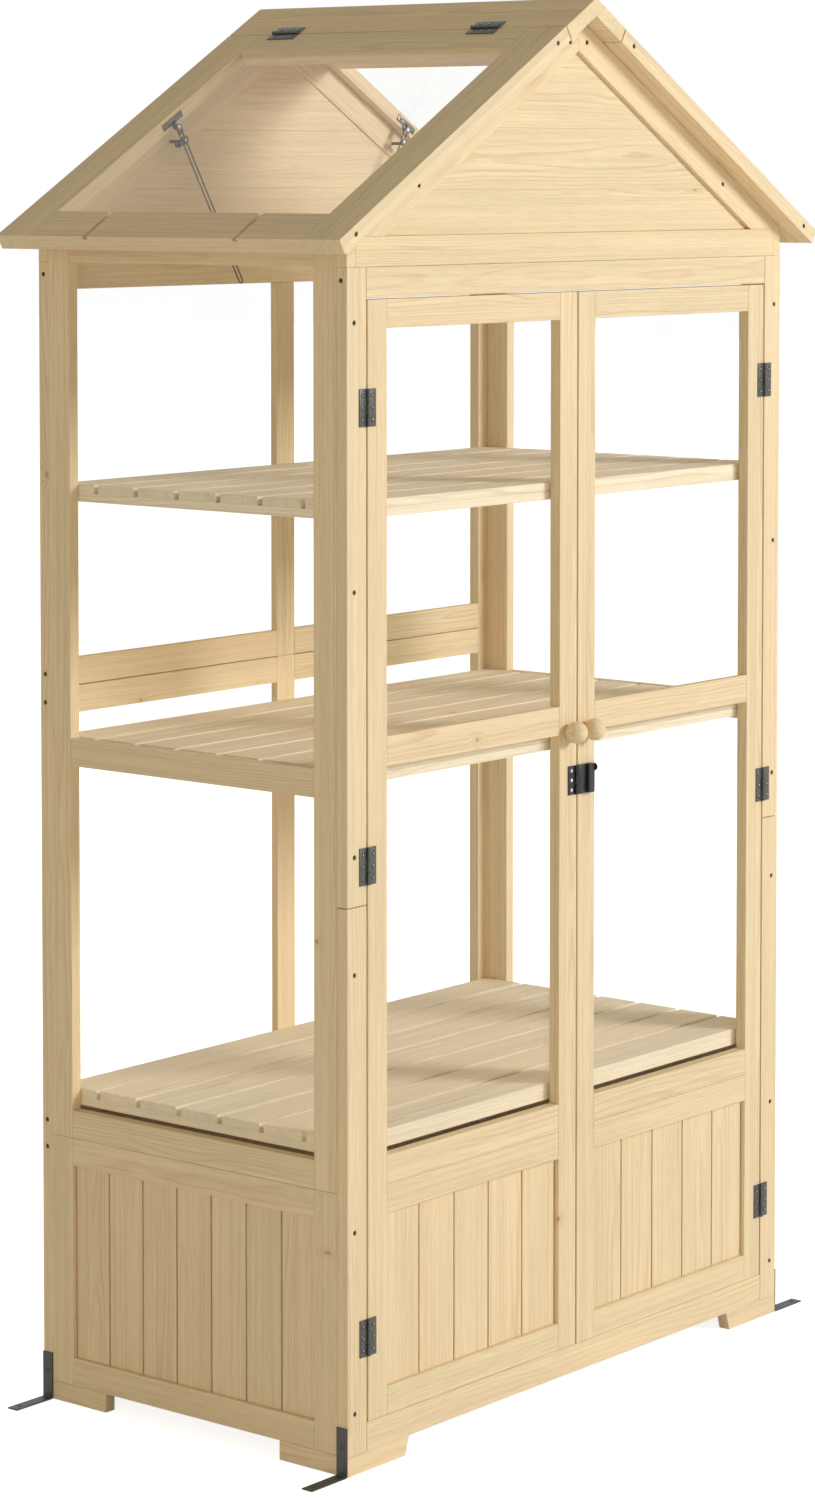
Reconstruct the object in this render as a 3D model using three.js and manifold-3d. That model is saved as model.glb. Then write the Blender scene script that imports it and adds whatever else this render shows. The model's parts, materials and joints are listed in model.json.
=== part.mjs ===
// A wooden mini greenhouse: a glazed cabinet on a planked base, with two doors,
// three slatted shelves, and a gabled roof whose two lids open on sliding stays.
// Millimetres, +Z up. Places are measured from the left face, the front face and
// the ground, and the whole then moves so that its origin is under its middle.
import * as THREE from "three";
import { mergeVertices } from "three/addons/utils/BufferGeometryUtils.js";
import Module from "manifold-3d";

const wasm = await Module();
wasm.setup();

// Cabinet
const CABINET_WIDTH = 1000;
const CABINET_DEPTH = 560;
const WALL_HEIGHT = 1598; // ground to the top of the posts
const BOARD = 18; // thickness of the frame boards
const POST_WIDTH = 40;
const POST_JOINT_HEIGHT = 757.5; // where the two lengths of a post meet
const STILE_WIDTH = 40; // upright boards of the frames
const RAIL_HEIGHT = 39; // cross boards of the frames
const SEAM = 1; // fine line between two boards, its width and depth

// Planked base
const FOOT_HEIGHT = 26.5;
const FOOT_LENGTH = 120;
const FOOT_TAPER = 8; // front feet only, wider at the top
const PLINTH_HEIGHT = 38;
const BASE_HEIGHT = 377; // ground to the top of the planked base
const PLANK_RECESS = 7;
const PLANK_THICKNESS = 8;
const PLANK_GROOVE = 2.4; // line between two planks, its width and depth
const SIDE_PLANKS = 7;
const BACK_PLANKS = 12;

// Side and back frames
const SIDE_RAIL_TOP = 938;
const BACK_JOINT_HEIGHT = 1004; // where the upper back frame stands on the lower

// Glazing
const PANE_THICKNESS = 3;
const PANE_BITE = 5; // how far an edge goes into its groove
const PANE_PLAY = 0.4; // free space on each side of an edge in its groove
const PANE_SETBACK = 12; // outer face of a door or side to its pane
const BACK_PANE_SETBACK = 3;
const LID_PANE_SETBACK = 3;

// Shelves
const UPPER_SHELF_TOP = 1290; // the middle shelf is level with the side rails
const LOWER_SHELF_RISE = 28.5; // top of the rail on the base to the lower shelf's top
const SLAT_COUNT = 7;
const SLAT_THICKNESS = 12;
const SLAT_GAP = 8;
const BEARER_HEIGHT = 12;
const BEARER_WIDTH = 30;
const SHELF_RAIL = 12; // thickness of the rail along a shelf's front edge
const SHELF_PLAY = 0.5; // shelf end to side frame
const SHELF_SETBACK = 2; // back of the doors to a shelf's front edge

// Gables
const GABLE_CORNER = 41; // height of a gable where the roof crosses the wall
const GABLE_RAIL = 40;
const RAKE_WIDTH = 40; // boards under the slopes
const GABLE_FIRST_LINE = 60; // top of the gable rail to the lowest plank line
const GABLE_PLANK_PITCH = 84.5;
const GABLE_PLANK_LINES = 3;

// Roof
const PITCH = THREE.MathUtils.degToRad(30.8);
const ROOF_BOARD = 22;
const ROOF_PLAY = 0.5; // underside of the roof to the gables
const EAVE_REACH = 51; // wall face to the tip of the eave
const ROOF_OVERHANG = 31; // roof past the front and back faces
const RIDGE_BOARD = 80; // down the slope, peak to hinge line
const LID_SIDE = 64.5;
const LID_HEAD = 55.5;
const LID_EAVE = 65;
const CHANNEL_WIDTH = 9; // drip channels across the eave rail
const CHANNEL_DEPTH = 5;
const CHANNEL_PLACE_SHARES = [0.293, 0.731]; // of the roof's depth

// Doors
const DOOR_PLAY = 1.5; // above and below a door
const DOOR_GAP = 2; // beside a door
const DOOR_STILE = 40;
const DOOR_FOOT_RAIL = 38;
const DOOR_SILL_RAIL = 39; // two of these meet at the height of the base
const DOOR_LOCK_RAIL = 40.5;
const DOOR_LOCK_TOP = 977;
const DOOR_HEAD_RAIL = 38.5;
const DOOR_HEAD = 1557; // underside of the rail above the doors
const DOOR_PLANKS = 5;
const KNOB_HEIGHT = 940;
const KNOB_RADIUS = 15.5;
const KNOB_NECK_RADIUS = 8;
const KNOB_REACH = 15; // door face to the middle of the ball

// Hinges
const HINGE_LENGTH = 50;
const HINGE_LEAF = 16.75; // pin to the edge of a leaf
const HINGE_PLATE = 1.5;
const HINGE_KNUCKLE_RADIUS = 2.5;
const HINGE_PIN_RADIUS = 1.1;
const HINGE_BORE_RADIUS = 1.7;
const HINGE_KNUCKLES = 3;
const HINGE_PLAY = 0.4; // between two knuckles
const SCREW_HEAD_RADIUS = 3.1;
const SCREW_HEAD_HEIGHT = 0.7;
const HINGE_SCREW_INSET = 6.5; // edge of a leaf to the middle of its screws
const HINGE_SCREW_PITCH = 16;
const HINGE_SCREWS = 3;
const DOOR_HINGE_HEIGHT_SHARES = [0.0765, 0.499, 0.905]; // of the door's height
const LID_HINGE_PLACE_SHARES = [0.228, 0.8215]; // of the roof's depth

// Latch
const LATCH_BOTTOM = 850;
const LATCH_HEIGHT = 41;
const LATCH_PLATE_WIDTH = 15;
const LATCH_PLATE = 1.5;
const LATCH_AXIS_INSET = 3; // edge of the left door to the flap's pin
const LATCH_KNUCKLE_RADIUS = 2.5;
const LATCH_PIN_RADIUS = 1;
const LATCH_BORE_RADIUS = 1.6;
const LATCH_STRAP_REACH = 34; // pin to the free edge of the flap
const LATCH_STRAP = 1.6;
const LATCH_RIB_WIDTH = 13;
const LATCH_RIB_HEIGHT = 9; // door face to the front of the rib
const LATCH_RIB_WALL = 2;
const LATCH_CATCH_REACH = 4.5; // door face to the front of the catch's lug
const LATCH_PLAY = 0.5;
const LATCH_TAB_RADIUS = 5.5;
const LATCH_TAB = 1.6;

// Ground anchors
const ANCHOR_WIDTH = 18;
const ANCHOR_PLATE = 2;
const ANCHOR_RISE = 66;
const ANCHOR_REACH = 72; // wall face to the tip
const ANCHOR_HOLE_RADIUS = 3;
const ANCHOR_HOLE_INSET = 14; // tip to the middle of the hole

// Stays: a bent wire hangs from each lid and slides through a guide on the gable
const STAY_DROP_SHARE = 0.413; // hinge line to the wire's rivet, of the lid's length
const STAY_RIVET_DEPTH = 24; // hinge line to the wire's rivet, square to the lid
const STAY_ANGLE = THREE.MathUtils.degToRad(31); // the wire from upright, lid shut
const STAY_GUIDE_DROP = 22; // rivet to guide
const STAY_GUIDE_ANGLE = THREE.MathUtils.degToRad(20.5); // rivet to guide, from upright
const STAY_LENGTH = 262; // rivet to the bottom of the bend
const STAY_WIRE = 2.5;
const STAY_WIRE_PITCH = 7;
const STAY_HEAD_LENGTH = 16;
const STAY_HEAD_WIDTH = 10;
const STAY_HEAD_THICKNESS = 3;
const STAY_RIVET_RADIUS = 1.8;
const STAY_EYE_RADIUS = 2.4;
const STAY_PLATE_LENGTH = 45;
const STAY_PLATE_WIDTH = 9;
const STAY_PLATE = 2;
const STAY_PLATE_PLAY = 1; // under the lid's pane
const STAY_SETBACK = 5.5; // stay plate to the middle of the wire
const GUIDE_DISC_RADIUS = 6.5;
const GUIDE_PLATE = 2;
const GUIDE_PIN_RADIUS = 2.4;
const GUIDE_SLOT = 9.6; // middle of the guide to the bar beside the wires
const GUIDE_BAR = 3;
const GUIDE_DISC_SHIFT = 4; // pin to the disc, which lies over the wires when the lid is shut
const GUIDE_PLAY = 0.5;

// Shared clearances and facets
const SEAT_GAP = 0.3; // between touching pieces that meet on a slope
const OVERRUN = 1; // how far a cut passes the faces it opens
const ROUND_SIDES = 10;
const SCREW_SIDES = 8;
const BEND_STEPS = 8;
const KNOB_SIDES = 16;
const KNOB_RINGS = 8;

// Places that follow from the sizes
const BACK_INSIDE = CABINET_DEPTH - BOARD;
const PLINTH_TOP = FOOT_HEIGHT + PLINTH_HEIGHT;
const DOOR_BOTTOM = PLINTH_TOP + DOOR_PLAY;
const DOOR_TOP = DOOR_HEAD - DOOR_PLAY;
const DOOR_WIDTH = CABINET_WIDTH / 2 - POST_WIDTH - 1.5 * DOOR_GAP;
const ROOF_DEPTH = CABINET_DEPTH + 2 * ROOF_OVERHANG;
const ROOF_DROP = ROOF_BOARD / Math.cos(PITCH); // the roof's thickness, upright
const GABLE_PEAK = WALL_HEIGHT + GABLE_CORNER + (Math.tan(PITCH) * CABINET_WIDTH) / 2;
const RIDGE_TOP = GABLE_PEAK + (ROOF_PLAY + ROOF_BOARD) / Math.cos(PITCH);
const SLOPE_LENGTH = (CABINET_WIDTH / 2 + EAVE_REACH) / Math.cos(PITCH);
const LID_LENGTH = SLOPE_LENGTH - RIDGE_BOARD;
const LID_TOP = -HINGE_KNUCKLE_RADIUS; // the lid's upper face below the hinge pin
const LID_PANE_BOTTOM = LID_TOP - LID_PANE_SETBACK - PANE_THICKNESS;
const STAY_PLANE = CABINET_DEPTH + ROOF_OVERHANG - LID_SIDE - STAY_PLATE - STAY_SETBACK;

// Finishes
const FINISH = {
  wood: { color: 0xeed9b2, roughness: 0.62, metalness: 0 },
  glass: { color: 0xf2f7f5, roughness: 0.08, metalness: 0, transparent: true, opacity: 0.2 },
  black_metal: { color: 0x1d1e1f, roughness: 0.45, metalness: 0.7 },
  grey_metal: { color: 0x8f8a88, roughness: 0.38, metalness: 0.9 },
};

// Solids
function solidOf(geometry) {
  geometry.deleteAttribute("normal");
  geometry.deleteAttribute("uv");
  const merged = mergeVertices(geometry);
  return new wasm.Manifold(
    new wasm.Mesh({
      numProp: 3,
      vertProperties: new Float32Array(merged.attributes.position.array),
      triVerts: new Uint32Array(merged.index.array),
    }),
  );
}

function geometryOf(solid) {
  const mesh = solid.getMesh();
  const geometry = new THREE.BufferGeometry();
  geometry.setAttribute("position", new THREE.BufferAttribute(mesh.vertProperties, 3));
  geometry.setIndex(new THREE.BufferAttribute(mesh.triVerts, 1));
  const faceted = geometry.toNonIndexed();
  faceted.computeVertexNormals();
  return faceted;
}

const join = (...solids) => solids.reduce((all, next) => all.add(next));
const cut = (solid, ...cutters) => cutters.reduce((left, next) => left.subtract(next), solid);

// A box from its two ends along each axis, in either order. Its corners are put at the ends
// themselves, so that boxes with a common end meet exactly.
function box(...spans) {
  const geometry = new THREE.BoxGeometry();
  const corners = geometry.attributes.position;
  spans.forEach((ends, axis) => {
    for (let i = 0; i < corners.count; i += 1) {
      const isLow = corners.getComponent(i, axis) < 0;
      corners.setComponent(i, axis, isLow ? Math.min(...ends) : Math.max(...ends));
    }
  });
  return solidOf(geometry);
}

// An outline of [x, z] points, carried from one Y to another.
function prism(points, [y0, y1]) {
  const turn = THREE.ShapeUtils.isClockWise(points.map(([x, z]) => new THREE.Vector2(x, z)));
  const ordered = turn ? [...points].reverse() : points;
  const shape = new THREE.Shape(ordered.map(([x, z]) => new THREE.Vector2(x, z)));
  const geometry = new THREE.ExtrudeGeometry(shape, { depth: y1 - y0, bevelEnabled: false });
  geometry.rotateX(Math.PI / 2);
  geometry.translate(0, y1, 0);
  return solidOf(geometry);
}

// A round bar along "x", "y" or "z", with its ends at from and to, about the point [a, b] of
// the two other axes, in their usual order.
function bar(axis, [from, to], [a, b], radius, sides = ROUND_SIDES, tip = radius) {
  const geometry = new THREE.CylinderGeometry(tip, radius, to - from, sides);
  if (axis === "x") geometry.rotateZ(-Math.PI / 2);
  if (axis === "z") geometry.rotateX(Math.PI / 2);
  const middle = (from + to) / 2;
  if (axis === "x") geometry.translate(middle, a, b);
  if (axis === "y") geometry.translate(a, middle, b);
  if (axis === "z") geometry.translate(a, b, middle);
  return solidOf(geometry);
}

// The four walls. Each takes a span along the wall, a depth in from its outer face and a
// span of height, and gives the box there.
const wall = {
  front: (along, depth, height) => box(along, depth, height),
  back: (along, depth, height) => box(along, depth.map((d) => CABINET_DEPTH - d), height),
  left: (along, depth, height) => box(depth, along, height),
  right: (along, depth, height) => box(depth.map((d) => CABINET_WIDTH - d), along, height),
};

// Upright planks with a groove between neighbours.
function planks(side, [from, to], [bottom, top], count) {
  const face = [PLANK_RECESS, PLANK_RECESS + PLANK_THICKNESS];
  const groove = [PLANK_RECESS - OVERRUN, PLANK_RECESS + PLANK_GROOVE];
  const pitch = (to - from) / count;
  let sheet = side([from, to], face, [bottom, top]);
  for (let i = 1; i < count; i += 1) {
    const middle = from + i * pitch;
    const width = [middle - PLANK_GROOVE / 2, middle + PLANK_GROOVE / 2];
    sheet = cut(sheet, side(width, groove, [bottom - OVERRUN, top + OVERRUN]));
  }
  return sheet;
}

// The groove that holds a pane round an opening, and the pane in it.
function paneGroove(side, [from, to], setback, [bottom, top]) {
  const reach = PANE_BITE + PANE_PLAY;
  const depth = [setback - PANE_PLAY, setback + PANE_THICKNESS + PANE_PLAY];
  return side([from - reach, to + reach], depth, [bottom - reach, top + reach]);
}

function pane(side, [from, to], setback, [bottom, top]) {
  const along = [from - PANE_BITE, to + PANE_BITE];
  return side(along, [setback, setback + PANE_THICKNESS], [bottom - PANE_BITE, top + PANE_BITE]);
}

// A fine line across the outer face where two boards meet.
const seamAcross = (side, along, height) =>
  side(along, [-OVERRUN, SEAM], [height - SEAM / 2, height + SEAM / 2]);

// Front posts stand on the ends of the plinth. Each is two lengths, end to end.
function frontPost(isLeft) {
  const outer = isLeft ? 0 : CABINET_WIDTH;
  const inner = isLeft ? POST_WIDTH : CABINET_WIDTH - POST_WIDTH;
  const beside = isLeft ? wall.left : wall.right;
  return cut(
    box([outer, inner], [0, BOARD], [FOOT_HEIGHT, WALL_HEIGHT]),
    seamAcross(wall.front, [outer, inner].sort((a, b) => a - b), POST_JOINT_HEIGHT),
    seamAcross(beside, [-OVERRUN, BOARD + OVERRUN], POST_JOINT_HEIGHT),
  );
}

function frontPlinth() {
  const outline = [
    [0, 0],
    [FOOT_LENGTH, 0],
    [FOOT_LENGTH + FOOT_TAPER, FOOT_HEIGHT],
  ];
  const shoulder = [
    [CABINET_WIDTH - POST_WIDTH, FOOT_HEIGHT],
    [CABINET_WIDTH - POST_WIDTH, PLINTH_TOP],
    [POST_WIDTH, PLINTH_TOP],
    [POST_WIDTH, FOOT_HEIGHT],
    [0, FOOT_HEIGHT],
  ];
  const mirrored = outline.map(([x, z]) => [CABINET_WIDTH - x, z]).reverse();
  const end = [[CABINET_WIDTH, FOOT_HEIGHT]];
  return prism([...outline, ...mirrored, ...end, ...shoulder], [0, BOARD]);
}

// A side of the planked base, on its two feet.
function sideBase(side) {
  const from = BOARD;
  const to = BACK_INSIDE;
  const through = [0, BOARD];
  const inside = [from + STILE_WIDTH, to - STILE_WIDTH];
  const footRail = [FOOT_HEIGHT, FOOT_HEIGHT + RAIL_HEIGHT];
  const headRail = [BASE_HEIGHT - RAIL_HEIGHT, BASE_HEIGHT];
  const feet = [
    [from, FOOT_LENGTH],
    [CABINET_DEPTH - FOOT_LENGTH, to],
  ];
  const base = join(
    side([from, inside[0]], through, [FOOT_HEIGHT, BASE_HEIGHT]),
    side([inside[1], to], through, [FOOT_HEIGHT, BASE_HEIGHT]),
    side(inside, through, footRail),
    side(inside, through, headRail),
    planks(side, inside, [footRail[1], headRail[0]], SIDE_PLANKS),
    ...feet.map((foot) => side(foot, through, [0, FOOT_HEIGHT])),
  );
  return cut(base, ...feet.map((foot) => seamAcross(side, foot, FOOT_HEIGHT)));
}

// The glazed frame of a side stands on its base. One pane passes behind the middle rail.
const SIDE_FRAME_TOP = WALL_HEIGHT + GABLE_RAIL;
const SIDE_OPENING = [BOARD + STILE_WIDTH, BACK_INSIDE - STILE_WIDTH];
const SIDE_GLAZED = [BASE_HEIGHT + RAIL_HEIGHT, WALL_HEIGHT];

function sideFrame(side) {
  const through = [0, BOARD];
  const behind = [0, PANE_SETBACK - PANE_PLAY];
  const uprights = [BASE_HEIGHT, SIDE_FRAME_TOP];
  return cut(
    join(
      side([BOARD, SIDE_OPENING[0]], through, uprights),
      side([SIDE_OPENING[1], BACK_INSIDE], through, uprights),
      side(SIDE_OPENING, through, [BASE_HEIGHT, SIDE_GLAZED[0]]),
      side(SIDE_OPENING, through, [WALL_HEIGHT, SIDE_FRAME_TOP]),
      side(SIDE_OPENING, behind, [SIDE_RAIL_TOP - RAIL_HEIGHT, SIDE_RAIL_TOP]),
    ),
    paneGroove(side, SIDE_OPENING, PANE_SETBACK, SIDE_GLAZED),
  );
}

// The back: a planked base with feet, and two glazed frames above it with a middle upright.
const BACK_OPENING = [STILE_WIDTH, CABINET_WIDTH - STILE_WIDTH];
const BACK_GLAZED = [BASE_HEIGHT + RAIL_HEIGHT, WALL_HEIGHT - RAIL_HEIGHT];

function backFrame() {
  const side = wall.back;
  const through = [0, BOARD];
  const inFront = [BACK_PANE_SETBACK + PANE_THICKNESS + PANE_PLAY, BOARD];
  const footRail = [FOOT_HEIGHT, FOOT_HEIGHT + RAIL_HEIGHT];
  const headRail = [BASE_HEIGHT - RAIL_HEIGHT, BASE_HEIGHT + RAIL_HEIGHT];
  const middle = CABINET_WIDTH / 2;
  const joint = [BACK_JOINT_HEIGHT - RAIL_HEIGHT, BACK_JOINT_HEIGHT + RAIL_HEIGHT];
  const seamInside = (height) =>
    side(BACK_OPENING, [BOARD - SEAM, BOARD + OVERRUN], [height - SEAM / 2, height + SEAM / 2]);
  return cut(
    join(
      side([0, STILE_WIDTH], through, [0, WALL_HEIGHT]),
      side([BACK_OPENING[1], CABINET_WIDTH], through, [0, WALL_HEIGHT]),
      side([STILE_WIDTH, FOOT_LENGTH], through, [0, FOOT_HEIGHT]),
      side([CABINET_WIDTH - FOOT_LENGTH, BACK_OPENING[1]], through, [0, FOOT_HEIGHT]),
      side(BACK_OPENING, through, footRail),
      side(BACK_OPENING, through, headRail),
      planks(side, BACK_OPENING, [footRail[1], headRail[0]], BACK_PLANKS),
      side(BACK_OPENING, inFront, joint),
      side([middle - STILE_WIDTH / 2, middle + STILE_WIDTH / 2], inFront, BACK_GLAZED),
      side(BACK_OPENING, through, [BACK_GLAZED[1], WALL_HEIGHT]),
    ),
    paneGroove(side, BACK_OPENING, BACK_PANE_SETBACK, BACK_GLAZED),
    seamAcross(side, BACK_OPENING, BASE_HEIGHT),
    seamInside(BASE_HEIGHT),
    seamInside(BACK_JOINT_HEIGHT),
  );
}

// Slats along the cabinet's width on three bearers, with a rail along the front edge.
function shelf(top) {
  const ends = [BOARD + SHELF_PLAY, CABINET_WIDTH - BOARD - SHELF_PLAY];
  const front = BOARD + SHELF_SETBACK;
  const back = BACK_INSIDE - SHELF_PLAY;
  const slat = (back - front - (SLAT_COUNT - 1) * SLAT_GAP) / SLAT_COUNT;
  const underside = top - SLAT_THICKNESS;
  const bottom = underside - BEARER_HEIGHT;
  const middle = CABINET_WIDTH / 2;
  const bearers = [
    [ends[0], ends[0] + BEARER_WIDTH],
    [middle - BEARER_WIDTH / 2, middle + BEARER_WIDTH / 2],
    [ends[1] - BEARER_WIDTH, ends[1]],
  ].map((span) => box(span, [front, back], [bottom, underside]));
  const slats = Array.from({ length: SLAT_COUNT }, (_, i) => {
    const from = front + i * (slat + SLAT_GAP);
    return box(ends, [from, from + slat], [underside, top]);
  });
  return join(box(ends, [front, front + SHELF_RAIL], [bottom, top]), ...bearers, ...slats);
}

// A gable: a rail, two rakes under the slopes and level planks set into both faces.
function gable(side, [y0, y1]) {
  const middle = CABINET_WIDTH / 2;
  const corner = WALL_HEIGHT + GABLE_CORNER;
  const railTop = WALL_HEIGHT + GABLE_RAIL;
  const innerPeak = GABLE_PEAK - RAKE_WIDTH / Math.cos(PITCH);
  const halfBase = (innerPeak - railTop) / Math.tan(PITCH);
  const outline = [
    [0, WALL_HEIGHT],
    [CABINET_WIDTH, WALL_HEIGHT],
    [CABINET_WIDTH, corner],
    [middle, GABLE_PEAK],
    [0, corner],
  ];
  const field = [
    [middle - halfBase, railTop],
    [middle + halfBase, railTop],
    [middle, innerPeak],
  ];
  const whole = prism(field, [y0 - OVERRUN, y1 + OVERRUN]);
  const across = [0, CABINET_WIDTH];
  const height = [railTop - OVERRUN, innerPeak + OVERRUN];
  const plankBack = PLANK_RECESS + PLANK_THICKNESS;
  const lines = Array.from({ length: GABLE_PLANK_LINES }, (_, i) => {
    const at = railTop + GABLE_FIRST_LINE + i * GABLE_PLANK_PITCH;
    const span = [at - SEAM / 2, at + SEAM / 2];
    return join(
      side(across, [PLANK_RECESS - OVERRUN, PLANK_RECESS + SEAM], span),
      side(across, [plankBack - SEAM, plankBack + OVERRUN], span),
    );
  });
  const recesses = join(
    side(across, [-OVERRUN, PLANK_RECESS], height),
    side(across, [plankBack, BOARD + OVERRUN], height),
    ...lines,
  );
  return cut(prism(outline, [y0, y1]), whole.intersect(recesses));
}

// The front gable carries the rail above the doors.
function frontGable() {
  const rail = [POST_WIDTH, CABINET_WIDTH - POST_WIDTH];
  return cut(
    join(gable(wall.front, [0, BOARD]), wall.front(rail, [0, BOARD], [DOOR_HEAD, WALL_HEIGHT])),
    seamAcross(wall.front, rail, WALL_HEIGHT),
  );
}

// The two ridge boards, the left one lapped over the right one at the peak.
function ridgeCap() {
  const middle = CABINET_WIDTH / 2;
  const across = (RIDGE_BOARD - DOOR_GAP / 2) * Math.cos(PITCH);
  const down = (RIDGE_BOARD - DOOR_GAP / 2) * Math.sin(PITCH);
  const edgeIn = ROOF_BOARD * Math.sin(PITCH);
  const edgeDown = ROOF_BOARD * Math.cos(PITCH);
  const lap = ROOF_DROP / 2 / Math.tan(PITCH);
  const roofSpan = [-ROOF_OVERHANG, CABINET_DEPTH + ROOF_OVERHANG];
  const outline = [
    [middle, RIDGE_TOP],
    [middle - across, RIDGE_TOP - down],
    [middle - across + edgeIn, RIDGE_TOP - down - edgeDown],
    [middle, RIDGE_TOP - ROOF_DROP],
    [middle + across - edgeIn, RIDGE_TOP - down - edgeDown],
    [middle + across, RIDGE_TOP - down],
  ];
  const seamTop = [middle + lap, RIDGE_TOP - ROOF_DROP / 2];
  const seam = [
    [seamTop[0] + SEAM * Math.sin(PITCH), seamTop[1] + SEAM * Math.cos(PITCH)],
    [seamTop[0] - SEAM * Math.cos(PITCH), seamTop[1] - SEAM * Math.sin(PITCH)],
    [seamTop[0] + SEAM * Math.cos(PITCH), seamTop[1] - SEAM * Math.sin(PITCH)],
  ];
  return cut(prism(outline, roofSpan), prism(seam, roofSpan));
}

// A lid lies in a frame whose origin is the middle of its hinge line: x down the slope times
// the lid's side, y to the back, z out of the roof.
const lidSpan = (side, from, to) => [side * from, side * to];
const LID_HALF = ROOF_DEPTH / 2;
const LID_OPENING = {
  down: [DOOR_GAP / 2 + LID_HEAD, LID_LENGTH - LID_EAVE],
  across: [-LID_HALF + LID_SIDE, LID_HALF - LID_SIDE],
};

function lidFrame(side) {
  const through = [LID_TOP - ROOF_BOARD, LID_TOP];
  const [top, bottom] = LID_OPENING.down;
  const [near, far] = LID_OPENING.across;
  const reach = PANE_BITE + PANE_PLAY;
  const channels = CHANNEL_PLACE_SHARES.map((share) => {
    const middle = -LID_HALF + share * ROOF_DEPTH;
    return box(
      lidSpan(side, bottom - OVERRUN, LID_LENGTH + OVERRUN),
      [middle - CHANNEL_WIDTH / 2, middle + CHANNEL_WIDTH / 2],
      [LID_TOP - CHANNEL_DEPTH, LID_TOP + OVERRUN],
    );
  });
  return cut(
    box(lidSpan(side, DOOR_GAP / 2, LID_LENGTH), [-LID_HALF, LID_HALF], through),
    box(lidSpan(side, top, bottom), [near, far], [through[0] - OVERRUN, OVERRUN]),
    box(
      lidSpan(side, top - reach, bottom + reach),
      [near - reach, far + reach],
      [LID_PANE_BOTTOM - PANE_PLAY, LID_TOP - LID_PANE_SETBACK + PANE_PLAY],
    ),
    ...channels,
  );
}

function lidPane(side) {
  const [top, bottom] = LID_OPENING.down;
  const [near, far] = LID_OPENING.across;
  return box(
    lidSpan(side, top - PANE_BITE, bottom + PANE_BITE),
    [near - PANE_BITE, far + PANE_BITE],
    [LID_PANE_BOTTOM, LID_PANE_BOTTOM + PANE_THICKNESS],
  );
}

// A door: two stiles, five rails, planks below and one pane that passes behind the lock rail.
const DOOR_GLAZED = [BASE_HEIGHT + DOOR_SILL_RAIL, DOOR_TOP - DOOR_HEAD_RAIL];
const doorSpan = (isLeft) => {
  const from = isLeft ? POST_WIDTH + DOOR_GAP : (CABINET_WIDTH + DOOR_GAP) / 2;
  return [from, from + DOOR_WIDTH];
};

function doorOpening(isLeft) {
  const [from, to] = doorSpan(isLeft);
  return [from + DOOR_STILE, to - DOOR_STILE];
}

function doorFrame(isLeft) {
  const side = wall.front;
  const [from, to] = doorSpan(isLeft);
  const opening = doorOpening(isLeft);
  const through = [0, BOARD];
  const inFront = [0, PANE_SETBACK - PANE_PLAY];
  const plankBottom = DOOR_BOTTOM + DOOR_FOOT_RAIL;
  const plankTop = BASE_HEIGHT - DOOR_SILL_RAIL;
  return cut(
    join(
      side([from, opening[0]], through, [DOOR_BOTTOM, DOOR_TOP]),
      side([opening[1], to], through, [DOOR_BOTTOM, DOOR_TOP]),
      side(opening, through, [DOOR_BOTTOM, plankBottom]),
      planks(side, opening, [plankBottom, plankTop], DOOR_PLANKS),
      side(opening, through, [plankTop, DOOR_GLAZED[0]]),
      side(opening, inFront, [DOOR_LOCK_TOP - DOOR_LOCK_RAIL, DOOR_LOCK_TOP]),
      side(opening, through, [DOOR_GLAZED[1], DOOR_TOP]),
    ),
    paneGroove(side, opening, PANE_SETBACK, DOOR_GLAZED),
    seamAcross(side, opening, BASE_HEIGHT),
  );
}

// A turned ball on a short neck.
function knob(isLeft) {
  const [from, to] = doorSpan(isLeft);
  const middle = isLeft ? to - DOOR_STILE / 2 : from + DOOR_STILE / 2;
  const start = Math.PI - Math.asin(KNOB_NECK_RADIUS / KNOB_RADIUS);
  const ring = (_, i) => {
    const angle = start * (1 - i / KNOB_RINGS);
    return new THREE.Vector2(KNOB_RADIUS * Math.sin(angle), KNOB_RADIUS * Math.cos(angle));
  };
  const profile = [
    new THREE.Vector2(0, -KNOB_REACH),
    new THREE.Vector2(KNOB_NECK_RADIUS, -KNOB_REACH),
    ...Array.from({ length: KNOB_RINGS }, ring),
    new THREE.Vector2(0, KNOB_RADIUS),
  ];
  const geometry = new THREE.LatheGeometry(profile, KNOB_SIDES);
  geometry.rotateX(Math.PI);
  geometry.translate(middle, -KNOB_REACH, KNOB_HEIGHT);
  return solidOf(geometry);
}

// The raised head of a screw that goes into the wood along +Y, through a plate.
function screwHead(x, z, [front, back]) {
  const narrow = SCREW_HEAD_RADIUS - SCREW_HEAD_HEIGHT;
  return bar("y", [front - SCREW_HEAD_HEIGHT, back], [x, z], narrow, SCREW_SIDES, SCREW_HEAD_RADIUS);
}

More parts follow.
